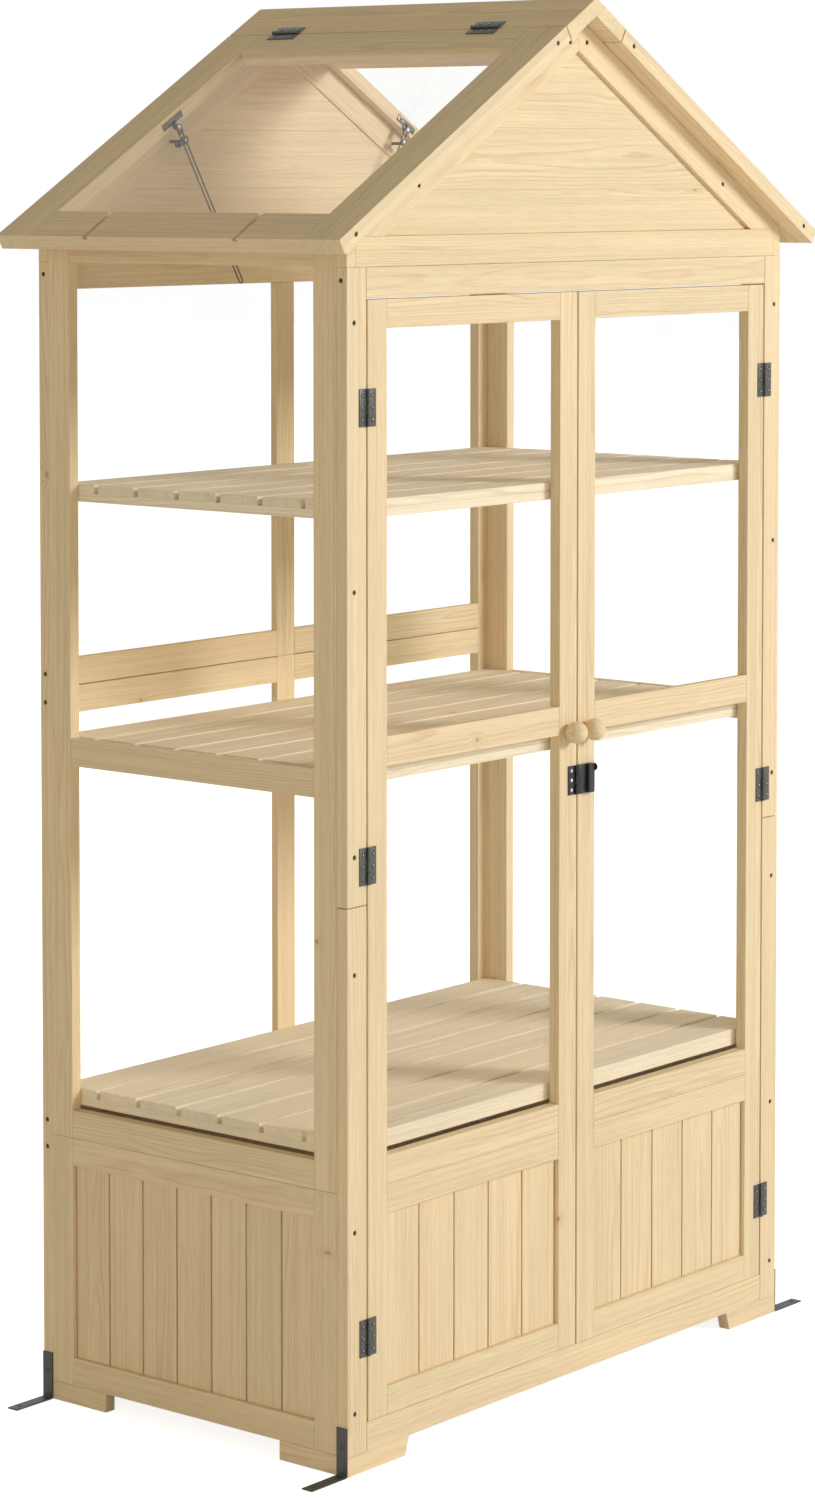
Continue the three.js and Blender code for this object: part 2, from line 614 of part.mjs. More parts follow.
// A hinge lies in a frame whose Z is its pin and whose +Y points into the wood. A leaf on
// side 1 reaches along +X, and one on side -1 along -X.
function hingeLeaf(side, isFixed) {
  const step = HINGE_LENGTH / HINGE_KNUCKLES;
  const plate = [HINGE_KNUCKLE_RADIUS - HINGE_PLATE, HINGE_KNUCKLE_RADIUS];
  const root = HINGE_KNUCKLE_RADIUS + HINGE_PLAY;
  const half = HINGE_LENGTH / 2;
  const pieces = [box([side * root, side * HINGE_LEAF], plate, [-half, half])];
  for (let i = isFixed ? 0 : 1; i < HINGE_KNUCKLES; i += 2) {
    const height = [i * step - half + HINGE_PLAY / 2, (i + 1) * step - half - HINGE_PLAY / 2];
    pieces.push(box([0, side * (root + HINGE_PLATE)], plate, height));
    pieces.push(bar("z", height, [0, 0], HINGE_KNUCKLE_RADIUS));
  }
  for (let i = 0; i < HINGE_SCREWS; i += 1) {
    const height = (i - (HINGE_SCREWS - 1) / 2) * HINGE_SCREW_PITCH;
    pieces.push(screwHead(side * (HINGE_LEAF - HINGE_SCREW_INSET), height, plate));
  }
  const leaf = join(...pieces);
  const span = [-half - OVERRUN, half + OVERRUN];
  return isFixed
    ? join(leaf, bar("z", [-half, half], [0, 0], HINGE_PIN_RADIUS))
    : cut(leaf, bar("z", span, [0, 0], HINGE_BORE_RADIUS));
}

// The latch: a plate on the left door, a flap hinged on it that closes over the gap, and a
// catch on the right door that the flap's hollow rib covers.
const LATCH_AXIS = (CABINET_WIDTH - DOOR_GAP) / 2 - LATCH_AXIS_INSET;
const LATCH_SPAN = [LATCH_BOTTOM, LATCH_BOTTOM + LATCH_HEIGHT];
const LATCH_END = LATCH_AXIS + LATCH_STRAP_REACH;
const LATCH_RIB = [LATCH_END - LATCH_RIB_WIDTH, LATCH_END];
const LATCH_KNUCKLE_PLACE = [LATCH_AXIS, -LATCH_KNUCKLE_RADIUS];

// The knuckle's three parts: bottom and top belong to the plate, the middle to the flap.
function latchKnuckle(index) {
  const step = LATCH_HEIGHT / 3;
  const from = LATCH_BOTTOM + index * step;
  const ends = [from + LATCH_PLAY / 2, from + step - LATCH_PLAY / 2];
  return { ends, bar: bar("z", ends, LATCH_KNUCKLE_PLACE, LATCH_KNUCKLE_RADIUS) };
}

function latchPlate() {
  const root = LATCH_AXIS - LATCH_KNUCKLE_RADIUS - LATCH_PLAY;
  const left = root - LATCH_PLATE_WIDTH;
  const depth = [-LATCH_PLATE, 0];
  const knuckles = [0, 2].map(latchKnuckle);
  const screws = Array.from({ length: HINGE_SCREWS }, (_, i) => {
    const height = LATCH_BOTTOM + ((i + 1 / 2) * LATCH_HEIGHT) / HINGE_SCREWS;
    return screwHead(left + LATCH_PLATE_WIDTH / 2, height, depth);
  });
  return join(
    box([left, root], depth, LATCH_SPAN),
    ...knuckles.map(({ ends }) => box([root - LATCH_PLATE, LATCH_AXIS], depth, ends)),
    ...knuckles.map((knuckle) => knuckle.bar),
    bar("z", LATCH_SPAN, LATCH_KNUCKLE_PLACE, LATCH_PIN_RADIUS),
    ...screws,
  );
}

function latchFlap() {
  const knuckle = latchKnuckle(1);
  const root = LATCH_AXIS + LATCH_KNUCKLE_RADIUS + LATCH_PLAY;
  const back = -LATCH_PLATE - 2 * LATCH_PLAY;
  const strap = [back - LATCH_STRAP, back];
  const ribDepth = [-LATCH_RIB_HEIGHT, -LATCH_PLAY - LATCH_PLATE];
  const hollow = [-LATCH_RIB_HEIGHT + LATCH_RIB_WALL, OVERRUN];
  const inside = [LATCH_RIB[0] - OVERRUN, LATCH_RIB[1] - LATCH_RIB_WALL];
  const tab = [-LATCH_RIB_HEIGHT + LATCH_RIB_WALL, LATCH_SPAN[1] - LATCH_TAB_RADIUS];
  const bore = bar(
    "z",
    [LATCH_SPAN[0] - OVERRUN, LATCH_SPAN[1] + OVERRUN],
    LATCH_KNUCKLE_PLACE,
    LATCH_BORE_RADIUS,
  );
  const hollowHeight = [LATCH_SPAN[0] + LATCH_RIB_WALL, LATCH_SPAN[1] - LATCH_RIB_WALL];
  return cut(
    join(
      box([LATCH_AXIS, root + LATCH_STRAP], strap, knuckle.ends),
      box([root, LATCH_RIB[0] + LATCH_RIB_WALL], strap, LATCH_SPAN),
      knuckle.bar,
      cut(
        box(LATCH_RIB, ribDepth, LATCH_SPAN),
        box([LATCH_RIB[0] + LATCH_RIB_WALL, inside[1]], hollow, hollowHeight),
      ),
      bar("x", [LATCH_END, LATCH_END + LATCH_TAB], tab, LATCH_TAB_RADIUS),
    ),
    bore,
  );
}

function latchCatch() {
  const wallPlay = LATCH_RIB_WALL + LATCH_PLAY;
  const lug = [LATCH_RIB[0] + wallPlay + LATCH_PLAY, LATCH_RIB[1] - wallPlay - LATCH_PLAY];
  const left = (CABINET_WIDTH + DOOR_GAP) / 2 + LATCH_PLAY;
  return join(
    box([left, LATCH_RIB[1]], [-LATCH_PLATE, 0], LATCH_SPAN),
    box(lug, [-LATCH_CATCH_REACH, 0], [LATCH_SPAN[0] + 2 * wallPlay, LATCH_SPAN[1] - 2 * wallPlay]),
  );
}

// A ground anchor: a plate up the wall and out over the ground.
function anchor(isLeft, y0) {
  const outward = isLeft ? -1 : 1;
  const face = isLeft ? 0 : CABINET_WIDTH;
  const outline = [
    [0, 0],
    [ANCHOR_REACH, 0],
    [ANCHOR_REACH, ANCHOR_PLATE],
    [ANCHOR_PLATE, ANCHOR_PLATE],
    [ANCHOR_PLATE, ANCHOR_RISE],
    [0, ANCHOR_RISE],
  ].map(([x, z]) => [face + outward * x, z]);
  const hole = [face + outward * (ANCHOR_REACH - ANCHOR_HOLE_INSET), y0 + ANCHOR_WIDTH / 2];
  return cut(
    prism(outline, [y0, y0 + ANCHOR_WIDTH]),
    bar("z", [-OVERRUN, ANCHOR_PLATE + OVERRUN], hole, ANCHOR_HOLE_RADIUS),
  );
}

// Stays. The plate is in the lid's frame, the wire in a frame at its rivet whose -Z runs
// down the wire, and the guide in a frame at its pin that is turned with the wire.
const STAY_DOWN = STAY_DROP_SHARE * LID_LENGTH;

function stayPlate(side) {
  const face = LID_OPENING.across[1];
  const plate = [face - STAY_PLATE, face - SEAT_GAP];
  const middle = LID_PANE_BOTTOM - STAY_PLATE_PLAY - STAY_PLATE_WIDTH / 2;
  const along = (length) => lidSpan(side, STAY_DOWN - length / 2, STAY_DOWN + length / 2);
  const ear = [-STAY_RIVET_DEPTH - STAY_RIVET_RADIUS - STAY_PLATE, middle];
  const width = [middle - STAY_PLATE_WIDTH / 2, middle + STAY_PLATE_WIDTH / 2];
  const rivet = [face - STAY_PLATE - STAY_SETBACK - STAY_HEAD_THICKNESS, plate[1]];
  return join(
    box(along(STAY_PLATE_LENGTH), plate, width),
    box(along(STAY_HEAD_WIDTH), plate, ear),
    bar("y", rivet, [side * STAY_DOWN, -STAY_RIVET_DEPTH], STAY_RIVET_RADIUS),
  );
}

function stayRod() {
  const half = STAY_WIRE_PITCH / 2;
  const bendTop = -STAY_LENGTH + half + STAY_WIRE / 2;
  const wireTop = -STAY_HEAD_LENGTH + STAY_HEAD_WIDTH / 2 + OVERRUN;
  const flat = [-STAY_HEAD_THICKNESS / 2, STAY_HEAD_THICKNESS / 2];
  const bend = new THREE.ArcCurve(0, 0, half, Math.PI, 2 * Math.PI);
  const path = new THREE.CatmullRomCurve3(
    bend.getPoints(BEND_STEPS).map(({ x, y }) => new THREE.Vector3(x, 0, y + bendTop)),
  );
  const section = new THREE.Shape(
    Array.from({ length: SCREW_SIDES }, (_, i) => {
      const angle = (2 * Math.PI * i) / SCREW_SIDES;
      return new THREE.Vector2(Math.cos(angle), Math.sin(angle)).multiplyScalar(STAY_WIRE / 2);
    }),
  );
  const turned = new THREE.ExtrudeGeometry(section, { steps: BEND_STEPS, extrudePath: path });
  const wire = (x) => bar("z", [bendTop - SEAT_GAP, wireTop], [x, 0], STAY_WIRE / 2, SCREW_SIDES);
  const headWidth = [-STAY_HEAD_WIDTH / 2, STAY_HEAD_WIDTH / 2];
  return cut(
    join(
      box(headWidth, flat, [STAY_HEAD_WIDTH / 2 - STAY_HEAD_LENGTH, 0]),
      bar("y", flat, [0, 0], STAY_HEAD_WIDTH / 2),
      wire(-half),
      wire(half),
      solidOf(turned),
    ),
    bar("y", [flat[0] - OVERRUN, flat[1] + OVERRUN], [0, 0], STAY_EYE_RADIUS),
  );
}

// The guide: a pin on the gable, a plate behind the wires, a bar past them and a disc in front.
function stayGuide(side) {
  const behind = STAY_WIRE / 2 + GUIDE_PLAY;
  const back = [behind, behind + GUIDE_PLATE];
  const front = [-behind - GUIDE_PLATE, -behind];
  const barSide = [side * GUIDE_SLOT, side * (GUIDE_SLOT + GUIDE_BAR)];
  const height = [-GUIDE_BAR, GUIDE_BAR];
  return join(
    bar("y", [back[0], BACK_INSIDE - STAY_PLANE - SEAT_GAP], [0, 0], GUIDE_PIN_RADIUS),
    box([-side * GUIDE_BAR, barSide[1]], back, height),
    box(barSide, [front[0], back[1]], height),
    box([-side * GUIDE_DISC_SHIFT, barSide[1]], front, height),
    bar("y", front, [-side * GUIDE_DISC_SHIFT, 0], GUIDE_DISC_RADIUS),
  );
}

// The object
const greenhouse = new THREE.Group();
const body = new THREE.Group();
body.position.set(-CABINET_WIDTH / 2, -CABINET_DEPTH / 2, 0);
greenhouse.add(body);

function add(group, name, solid, finish) {
  const mesh = new THREE.Mesh(geometryOf(solid), new THREE.MeshStandardMaterial(FINISH[finish]));
  mesh.name = name;
  group.add(mesh);
}

function place(group, x, y, z) {
  const made = new THREE.Group();
  made.position.set(x, y, z);
  group.add(made);
  return made;
}

add(body, "front_plinth", frontPlinth(), "wood");
add(body, "front_gable", frontGable(), "wood");
add(body, "back_gable", gable(wall.back, [BACK_INSIDE, CABINET_DEPTH]), "wood");
add(body, "back_frame", backFrame(), "wood");
add(body, "back_pane", pane(wall.back, BACK_OPENING, BACK_PANE_SETBACK, BACK_GLAZED), "glass");
add(body, "ridge_cap", ridgeCap(), "wood");
add(body, "upper_shelf", shelf(UPPER_SHELF_TOP), "wood");
add(body, "middle_shelf", shelf(SIDE_RAIL_TOP), "wood");
add(body, "lower_shelf", shelf(BASE_HEIGHT + RAIL_HEIGHT + LOWER_SHELF_RISE), "wood");

// What each side of the cabinet has alike
for (const hand of ["left", "right"]) {
  const isLeft = hand === "left";
  const side = wall[hand];
  add(body, `${hand}_post`, frontPost(isLeft), "wood");
  add(body, `${hand}_base`, sideBase(side), "wood");
  add(body, `${hand}_side_frame`, sideFrame(side), "wood");
  add(body, `${hand}_side_pane`, pane(side, SIDE_OPENING, PANE_SETBACK, SIDE_GLAZED), "glass");
  add(body, `${hand}_front_anchor`, anchor(isLeft, 0), "black_metal");
  add(body, `${hand}_back_anchor`, anchor(isLeft, CABINET_DEPTH - ANCHOR_WIDTH), "black_metal");
}

// Doors, with their knobs and hinges
for (const hand of ["left", "right"]) {
  const isLeft = hand === "left";
  const inward = isLeft ? 1 : -1;
  const glazed = pane(wall.front, doorOpening(isLeft), PANE_SETBACK, DOOR_GLAZED);
  add(body, `${hand}_door_frame`, doorFrame(isLeft), "wood");
  add(body, `${hand}_door_pane`, glazed, "glass");
  add(body, `${hand}_knob`, knob(isLeft), "wood");
  const pin = POST_WIDTH + DOOR_GAP / 2;
  const levels = ["lower", "middle", "upper"];
  levels.forEach((level, i) => {
    const height = DOOR_BOTTOM + DOOR_HINGE_HEIGHT_SHARES[i] * (DOOR_TOP - DOOR_BOTTOM);
    const at = place(body, isLeft ? pin : CABINET_WIDTH - pin, -HINGE_KNUCKLE_RADIUS, height);
    add(at, `${hand}_door_${level}_hinge_post_leaf`, hingeLeaf(-inward, true), "black_metal");
    add(at, `${hand}_door_${level}_hinge_door_leaf`, hingeLeaf(inward, false), "black_metal");
  });
}
add(body, "latch_plate", latchPlate(), "black_metal");
add(body, "latch_flap", latchFlap(), "black_metal");
add(body, "latch_catch", latchCatch(), "black_metal");

// Roof lids, with their hinges and stays
for (const hand of ["left", "right"]) {
  const side = hand === "left" ? -1 : 1;
  const down = RIDGE_BOARD * Math.cos(PITCH) + LID_TOP * Math.sin(PITCH);
  const hingeX = CABINET_WIDTH / 2 + side * (down - 2 * LID_TOP * Math.sin(PITCH));
  const hingeZ = RIDGE_TOP - RIDGE_BOARD * Math.sin(PITCH) - LID_TOP * Math.cos(PITCH);
  const lid = place(body, hingeX, CABINET_DEPTH / 2, hingeZ);
  lid.rotation.y = side * PITCH;
  add(lid, `${hand}_lid_frame`, lidFrame(side), "wood");
  add(lid, `${hand}_lid_pane`, lidPane(side), "glass");
  ["front", "back"].forEach((end, i) => {
    const at = place(lid, 0, -LID_HALF + LID_HINGE_PLACE_SHARES[i] * ROOF_DEPTH, 0);
    at.rotation.x = -Math.PI / 2;
    add(at, `${hand}_lid_${end}_hinge_ridge_leaf`, hingeLeaf(-side, true), "black_metal");
    add(at, `${hand}_lid_${end}_hinge_lid_leaf`, hingeLeaf(side, false), "black_metal");
  });
  add(lid, `${hand}_stay_plate`, stayPlate(side), "grey_metal");

  const slope = new THREE.Vector3(Math.cos(PITCH) * side, 0, -Math.sin(PITCH));
  const out = new THREE.Vector3(Math.sin(PITCH) * side, 0, Math.cos(PITCH));
  const rivet = new THREE.Vector3(hingeX, STAY_PLANE, hingeZ)
    .addScaledVector(slope, STAY_DOWN)
    .addScaledVector(out, -STAY_RIVET_DEPTH);
  const rod = place(body, rivet.x, rivet.y, rivet.z);
  rod.rotation.y = side * STAY_ANGLE;
  add(rod, `${hand}_stay_rod`, stayRod(), "grey_metal");
  const guideX = rivet.x - side * STAY_GUIDE_DROP * Math.sin(STAY_GUIDE_ANGLE);
  const guideZ = rivet.z - STAY_GUIDE_DROP * Math.cos(STAY_GUIDE_ANGLE);
  const guide = place(body, guideX, STAY_PLANE, guideZ);
  guide.rotation.y = side * STAY_ANGLE;
  add(guide, `${hand}_stay_guide`, stayGuide(side), "grey_metal");
}

export default greenhouse;
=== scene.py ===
import json
import math
import random
from functools import partial

import bmesh
import bpy
from mathutils import Matrix, Vector


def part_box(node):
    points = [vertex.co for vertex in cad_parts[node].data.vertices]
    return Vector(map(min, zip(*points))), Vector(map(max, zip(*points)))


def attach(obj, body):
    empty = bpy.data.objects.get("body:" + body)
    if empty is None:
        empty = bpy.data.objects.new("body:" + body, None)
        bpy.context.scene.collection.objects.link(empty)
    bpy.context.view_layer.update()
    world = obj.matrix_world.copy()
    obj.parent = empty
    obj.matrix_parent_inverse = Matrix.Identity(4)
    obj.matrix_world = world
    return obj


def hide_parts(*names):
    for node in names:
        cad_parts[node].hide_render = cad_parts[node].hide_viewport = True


# The looks of a wooden mini greenhouse: every board, pane, hinge, screw, latch and stay,
# in metres, each in the place that the frame gives it.
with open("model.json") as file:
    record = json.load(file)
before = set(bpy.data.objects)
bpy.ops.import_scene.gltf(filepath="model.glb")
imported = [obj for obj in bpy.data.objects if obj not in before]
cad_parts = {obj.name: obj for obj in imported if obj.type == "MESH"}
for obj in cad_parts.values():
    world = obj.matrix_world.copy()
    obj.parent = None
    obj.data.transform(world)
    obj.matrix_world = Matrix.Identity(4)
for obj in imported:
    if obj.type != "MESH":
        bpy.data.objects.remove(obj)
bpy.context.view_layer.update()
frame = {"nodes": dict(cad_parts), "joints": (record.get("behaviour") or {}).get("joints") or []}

X_AXIS = Vector((1, 0, 0))
Y_AXIS = Vector((0, 1, 0))
Z_AXIS = Vector((0, 0, 1))
HANDS = ("left", "right")
SIGNS = {"left": -1, "right": 1}
JOINTS = {joint["name"]: joint for joint in frame["joints"]}


# Places and sizes read from the frame
def span(node, axis):
    """From where to where a node reaches along one axis."""
    low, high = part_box(node)
    return low[axis], high[axis]


def spans(node):
    return [span(node, axis) for axis in range(3)]


def joint_place(name):
    return Vector(JOINTS[name]["pos_m"])


def span_in(matrix, node, axis):
    """From where to where a node reaches along one axis of a turned frame."""
    back = matrix.inverted()
    reach = [(back @ vertex.co)[axis] for vertex in frame["nodes"][node].data.vertices]
    return min(reach), max(reach)


SILL_GAP = 0.0004  # the plinth as it is seen, to the doors above it
LEFT, FRONT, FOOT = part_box("left_post")[0]
RIGHT = span("right_post", 0)[1]
BACK = span("back_frame", 1)[1]
BOARD = span("left_post", 1)[1] - FRONT
POST = span("left_post", 0)[1] - LEFT
WALL = span("left_post", 2)[1]
PLINTH = span("left_door_frame", 2)[0] - SILL_GAP
BASE = span("left_base", 2)[1]
SIDE_TOP = span("left_side_frame", 2)[1]
DOOR_HEAD = span("front_gable", 2)[0]
PEAK = span("front_gable", 2)[1]
RIDGE = span("ridge_cap", 2)[1]
ROOF_SPAN = span("ridge_cap", 1)
SIDE_SPAN = (FRONT + BOARD, BACK - BOARD)
SIDES = {"left": LEFT, "right": RIGHT}
THROUGH = (0, BOARD)

# Sizes of boards that the frame's boxes don't tell
STILE = 0.040
RAIL = 0.039
FOOT_LENGTH = 0.120
FOOT_TAPER = 0.008
POST_JOINT = 0.7575
PLANK_RECESS = 0.007
PLANK = 0.008
PLANK_GROOVE = 0.003
TONGUE = 0.0072
PANE_BITE = 0.005
PANE_PLAY = 0.0004
SIDE_PLANKS = 7
BACK_PLANKS = 12
DOOR_PLANKS = 5
BACK_JOINT = 1.004
GABLE_RAIL = 0.040
GABLE_CORNER = 0.041
RAKE = 0.040
GABLE_LINES = (0.060, 0.1445, 0.229)
PITCH = math.radians(30.8)
ROOF_BOARD = 0.022
RIDGE_BOARD = 0.079
LID_TOP = -0.0025
LID_START = 0.001
LID_SIDE = 0.0645
LID_HEAD = 0.0555
LID_EAVE = 0.065
CHANNEL_WIDTH = 0.009
CHANNEL_DEPTH = 0.005
CHANNEL_SHARES = (0.293, 0.731)
EAVE_REACH = 0.051
SLATS = 7
SLAT = 0.012
SLAT_GAP = 0.008
BEARER_WIDTH = 0.030
SHELF_RAIL = 0.012
DOOR_FOOT_RAIL = 0.038
DOOR_LOCK_RAIL = 0.0405
DOOR_LOCK_TOP = 0.977

# Rounded edges, and the fine gaps between boards
EDGE = 0.0007
DOOR_EASE = 0.0006
SEAM = 0.00015
BUTT_JOINT = 0.0005
SOFT_EDGE = 0.0009
METAL_EDGE = 0.00025
SHARP = math.radians(20)
SMOOTH_UP_TO = math.radians(32)
ROUND_STEPS = 24

# Screws in the wood, and the cross in a head as shares of its radius and rise
SCREW_RADIUS = 0.0037
SCREW_DEPTH = 0.0016
SCREW_FIT = 0.88
SCREW_INSET = 0.015
POST_SCREWS = (1.5257, 1.1729, 0.8237, 0.6678, 0.3248, 0.0822)
POST_SIDE_SCREW = (0.0107, 1.5808)
BACK_SCREW_INSET = 0.0086
BACK_SCREWS = (1.5808, 1.0235, 0.984, 0.3959, 0.3579)
RAKE_PEAK_SCREW = 0.0193
RAKE_FOOT_SCREW = 0.1488
HOLE_SIDES = 16
HEAD_SIDES = 20
HEAD_RINGS = 10
CROSS_LENGTH = 1.15
CROSS_WIDTH = 0.26
CROSS_DEPTH = 1.1

# Seeds of the rows of boards and of the screws' turns
BOARD_SEEDS = {
    "left_base_planks": 11,
    "right_base_planks": 12,
    "back_base_planks": 13,
    "left_door_planks": 14,
    "right_door_planks": 15,
    "upper_shelf_slats": 31,
    "middle_shelf_slats": 32,
    "lower_shelf_slats": 33,
}
SCREW_SEEDS = {"door": 21, "lid": 22, "fixed": 23, "latch": 25, "anchor": 26, "stay": 27}


# Node trees
SOCKET_KINDS = {float: "Float", int: "Int", tuple: "Color"}
SURFACE = {"Color": "Color", "Roughness": "Float", "Height": "Float"}
WHITE = (1, 1, 1, 1)


def node(tree, kind, inputs=None, **settings):
    """Adds a node. inputs gives its sockets a value or a link, by name or number."""
    made = tree.nodes.new(kind)
    for name, value in settings.items():
        setattr(made, name, value)
    for name, value in (inputs or {}).items():
        if isinstance(value, bpy.types.NodeSocket):
            tree.links.new(value, made.inputs[name])
        else:
            made.inputs[name].default_value = value
    return made


def calc(tree, operation, *values, clamp=False):
    inputs = dict(enumerate(values))
    return node(tree, "ShaderNodeMath", inputs, operation=operation, use_clamp=clamp).outputs[0]


def sums(tree):
    """The sums that a tree needs most: times, plus and minus."""
    return [partial(calc, tree, operation) for operation in ("MULTIPLY", "ADD", "SUBTRACT")]


def vector_calc(tree, operation, *values):
    inputs = dict(enumerate(values))
    made = node(tree, "ShaderNodeVectorMath", inputs, operation=operation)
    return made.outputs["Value" if operation == "LENGTH" else "Vector"]


def parted(tree, vector):
    return node(tree, "ShaderNodeSeparateXYZ", {0: vector}).outputs


def joined(tree, x=0.0, y=0.0, z=0.0):
    return node(tree, "ShaderNodeCombineXYZ", {0: x, 1: y, 2: z}).outputs[0]


def noise(tree, place, scale, detail):
    inputs = {"Vector": place, "Scale": scale, "Detail": detail}
    return node(tree, "ShaderNodeTexNoise", inputs).outputs


def smooth_step(tree, value, start, end):
    """0 before start, 1 after end, and smooth between them."""
    inputs = {"Value": value, "From Min": start, "From Max": end}
    return node(tree, "ShaderNodeMapRange", inputs, interpolation_type="SMOOTHSTEP").outputs[0]


def blended(tree, share, first, second, mode="MIX"):
    inputs = {0: share, 6: first, 7: second}
    return node(tree, "ShaderNodeMix", inputs, data_type="RGBA", blend_type=mode).outputs[2]


def seen_directly(tree):
    """1 where the camera sees a surface, also in or through another one, and otherwise 0."""
    path = node(tree, "ShaderNodeLightPath").outputs
    seen = calc(tree, "MAXIMUM", path["Is Camera Ray"], path["Is Glossy Ray"])
    return calc(tree, "MAXIMUM", seen, path["Is Transmission Ray"])


def new_group(name, kind, inputs, outputs):
    """A node group, what it is given, and its end. An input is described by its value, or
    by the kind of its socket if it starts without one."""
    tree = bpy.data.node_groups.new(name, kind)
    for label, value in inputs.items():
        has_value = not isinstance(value, str)
        socket = SOCKET_KINDS[type(value)] if has_value else value
        made = tree.interface.new_socket(label, in_out="INPUT", socket_type=f"NodeSocket{socket}")
        if has_value:
            made.default_value = value
    for label, socket in outputs.items():
        tree.interface.new_socket(label, in_out="OUTPUT", socket_type=f"NodeSocket{socket}")
    return tree, tree.nodes.new("NodeGroupInput").outputs, tree.nodes.new("NodeGroupOutput")


def end_group(tree, result, *values):
    for value, socket in zip(values, result.inputs):
        tree.links.new(value, socket)
    return tree


# Wood: growth rings round a pith beside each board, fibres along it and a few small knots
LOG_BEND = 0.02
KNOT_SPACING = 0.42
KNOT_TURN = 0.9
KNOT_STRETCH = 0.75
KNOT_RADIUS = 0.0016
KNOT_GROWTH = 0.003
HALO_REACH = 3.2
RING_SWELL = 2.5
RING_WOBBLE = 0.0011
KNOT_HEART = (0.44, 0.26, 0.12, 1)
GRAIN_INPUTS = {
    "Ring Width": 0.003,
    "Ring Strength": 0.52,
    "Fibre Strength": 0.42,
    "Knot Share": 0.05,
    "Early Wood": (0.86, 0.715, 0.48, 1),
    "Late Wood": (0.66, 0.45, 0.23, 1),
    "Warm Tone": (0.84, 0.66, 0.44, 1),
}


def pine_grain_group():
    tree, given, result = new_group("pine grain", "ShaderNodeTree", GRAIN_INPUTS, SURFACE)
    times, plus, minus = sums(tree)
    place = node(tree, "ShaderNodeAttribute", attribute_name="wood").outputs["Vector"]
    tone = node(tree, "ShaderNodeAttribute", attribute_name="tone").outputs["Fac"]

    def drawn_out(along, across, detail):
        """Noise that is drawn out along the board."""
        return noise(tree, vector_calc(tree, "MULTIPLY", place, (along, across, across)), 1, detail)

    # A log that isn't quite straight
    bend = vector_calc(tree, "SUBTRACT", drawn_out(2.2, 9, 2)["Color"], (0.5, 0.5, 0.5))
    bend = vector_calc(tree, "MULTIPLY", bend, (0, LOG_BEND, LOG_BEND))
    bent = vector_calc(tree, "ADD", place, bend)
    parts = parted(tree, bent)
    radius = vector_calc(tree, "LENGTH", vector_calc(tree, "MULTIPLY", bent, (0, 1, 1)))
    turn = calc(tree, "ARCTAN2", parts[2], parts[1])

    # Knots: at most one in each cell along and round the log
    cell_along = calc(tree, "DIVIDE", parts[0], KNOT_SPACING)
    cell_round = calc(tree, "DIVIDE", turn, KNOT_TURN)
    cell_inputs = {"Vector": joined(tree, cell_along, cell_round), "Scale": 1, "Randomness": 0.7}
    cell = node(tree, "ShaderNodeTexVoronoi", cell_inputs, voronoi_dimensions="2D").outputs
    centre = parted(tree, cell["Position"])
    chance = node(tree, "ShaderNodeSeparateColor", {0: cell["Color"]}).outputs
    along = times(minus(parts[0], times(centre[0], KNOT_SPACING)), KNOT_STRETCH)
    aside = times(minus(turn, times(centre[1], KNOT_TURN)), radius)
    off = calc(tree, "SQRT", plus(calc(tree, "POWER", along, 2), calc(tree, "POWER", aside, 2)))
    size = calc(tree, "MULTIPLY_ADD", chance[1], KNOT_GROWTH, KNOT_RADIUS)
    near = calc(tree, "DIVIDE", off, size)
    is_knot = calc(tree, "LESS_THAN", chance[0], given["Knot Share"])
    core = times(is_knot, minus(1, smooth_step(tree, near, 0.75, 1.25)))
    fading = calc(tree, "POWER", calc(tree, "DIVIDE", near, HALO_REACH), 2)
    halo = times(calc(tree, "EXPONENT", times(fading, -1)), is_knot)

    # Rings, which part round a knot and aren't equally dark everywhere
    swell = times(times(halo, size), RING_SWELL)
    wobble = times(drawn_out(9, 260, 2)[0], RING_WOBBLE)
    ring_place = plus(plus(radius, swell), wobble)
    ring = calc(tree, "FRACT", calc(tree, "DIVIDE", ring_place, given["Ring Width"]))
    rise = calc(tree, "POWER", smooth_step(tree, ring, 0.25, 0.86), 3.0)
    late = times(rise, minus(1, smooth_step(tree, ring, 0.88, 1.0)))
    late = times(late, smooth_step(tree, drawn_out(0.9, 30, 1)[0], 0.2, 0.75))

    # Fibres, clouds and streaks make the wood lighter and darker
    fibre = minus(drawn_out(26, 1500, 3)[0], 0.5)
    light = times(fibre, given["Fibre Strength"])
    light = plus(light, times(minus(drawn_out(3, 26, 2)[0], 0.5), 0.16))
    light = plus(light, times(minus(drawn_out(2, 170, 2)[0], 0.5), 0.3))
    light = plus(plus(times(minus(tone, 0.5), 0.08), light), 1)
    grey = node(tree, "ShaderNodeCombineColor", {0: light, 1: light, 2: light}).outputs[0]

    early = blended(tree, times(tone, 0.8), given["Early Wood"], given["Warm Tone"])
    ring_share = times(late, given["Ring Strength"], clamp=True)
    colour = blended(tree, ring_share, early, given["Late Wood"])
    colour = blended(tree, 1.0, colour, grey, "MULTIPLY")
    colour = blended(tree, times(halo, 0.35), colour, given["Late Wood"])
    knot_ring = calc(tree, "MULTIPLY_ADD", calc(tree, "SINE", times(near, 12)), 0.15, 0.6)
    colour = blended(tree, times(core, knot_ring), colour, KNOT_HEART)
    rough = plus(calc(tree, "MULTIPLY_ADD", late, -0.1, 0.62), times(fibre, 0.25))
    height = plus(times(late, 0.5), times(fibre, 0.8))
    return end_group(tree, result, colour, rough, height)


METAL_INPUTS = {
    "Scale": 60.0,
    "Base": (0.02, 0.02, 0.02, 1),
    "Worn": (0.1, 0.1, 0.1, 1),
    "Roughness": 0.45,
    "Spread": 0.2,
}


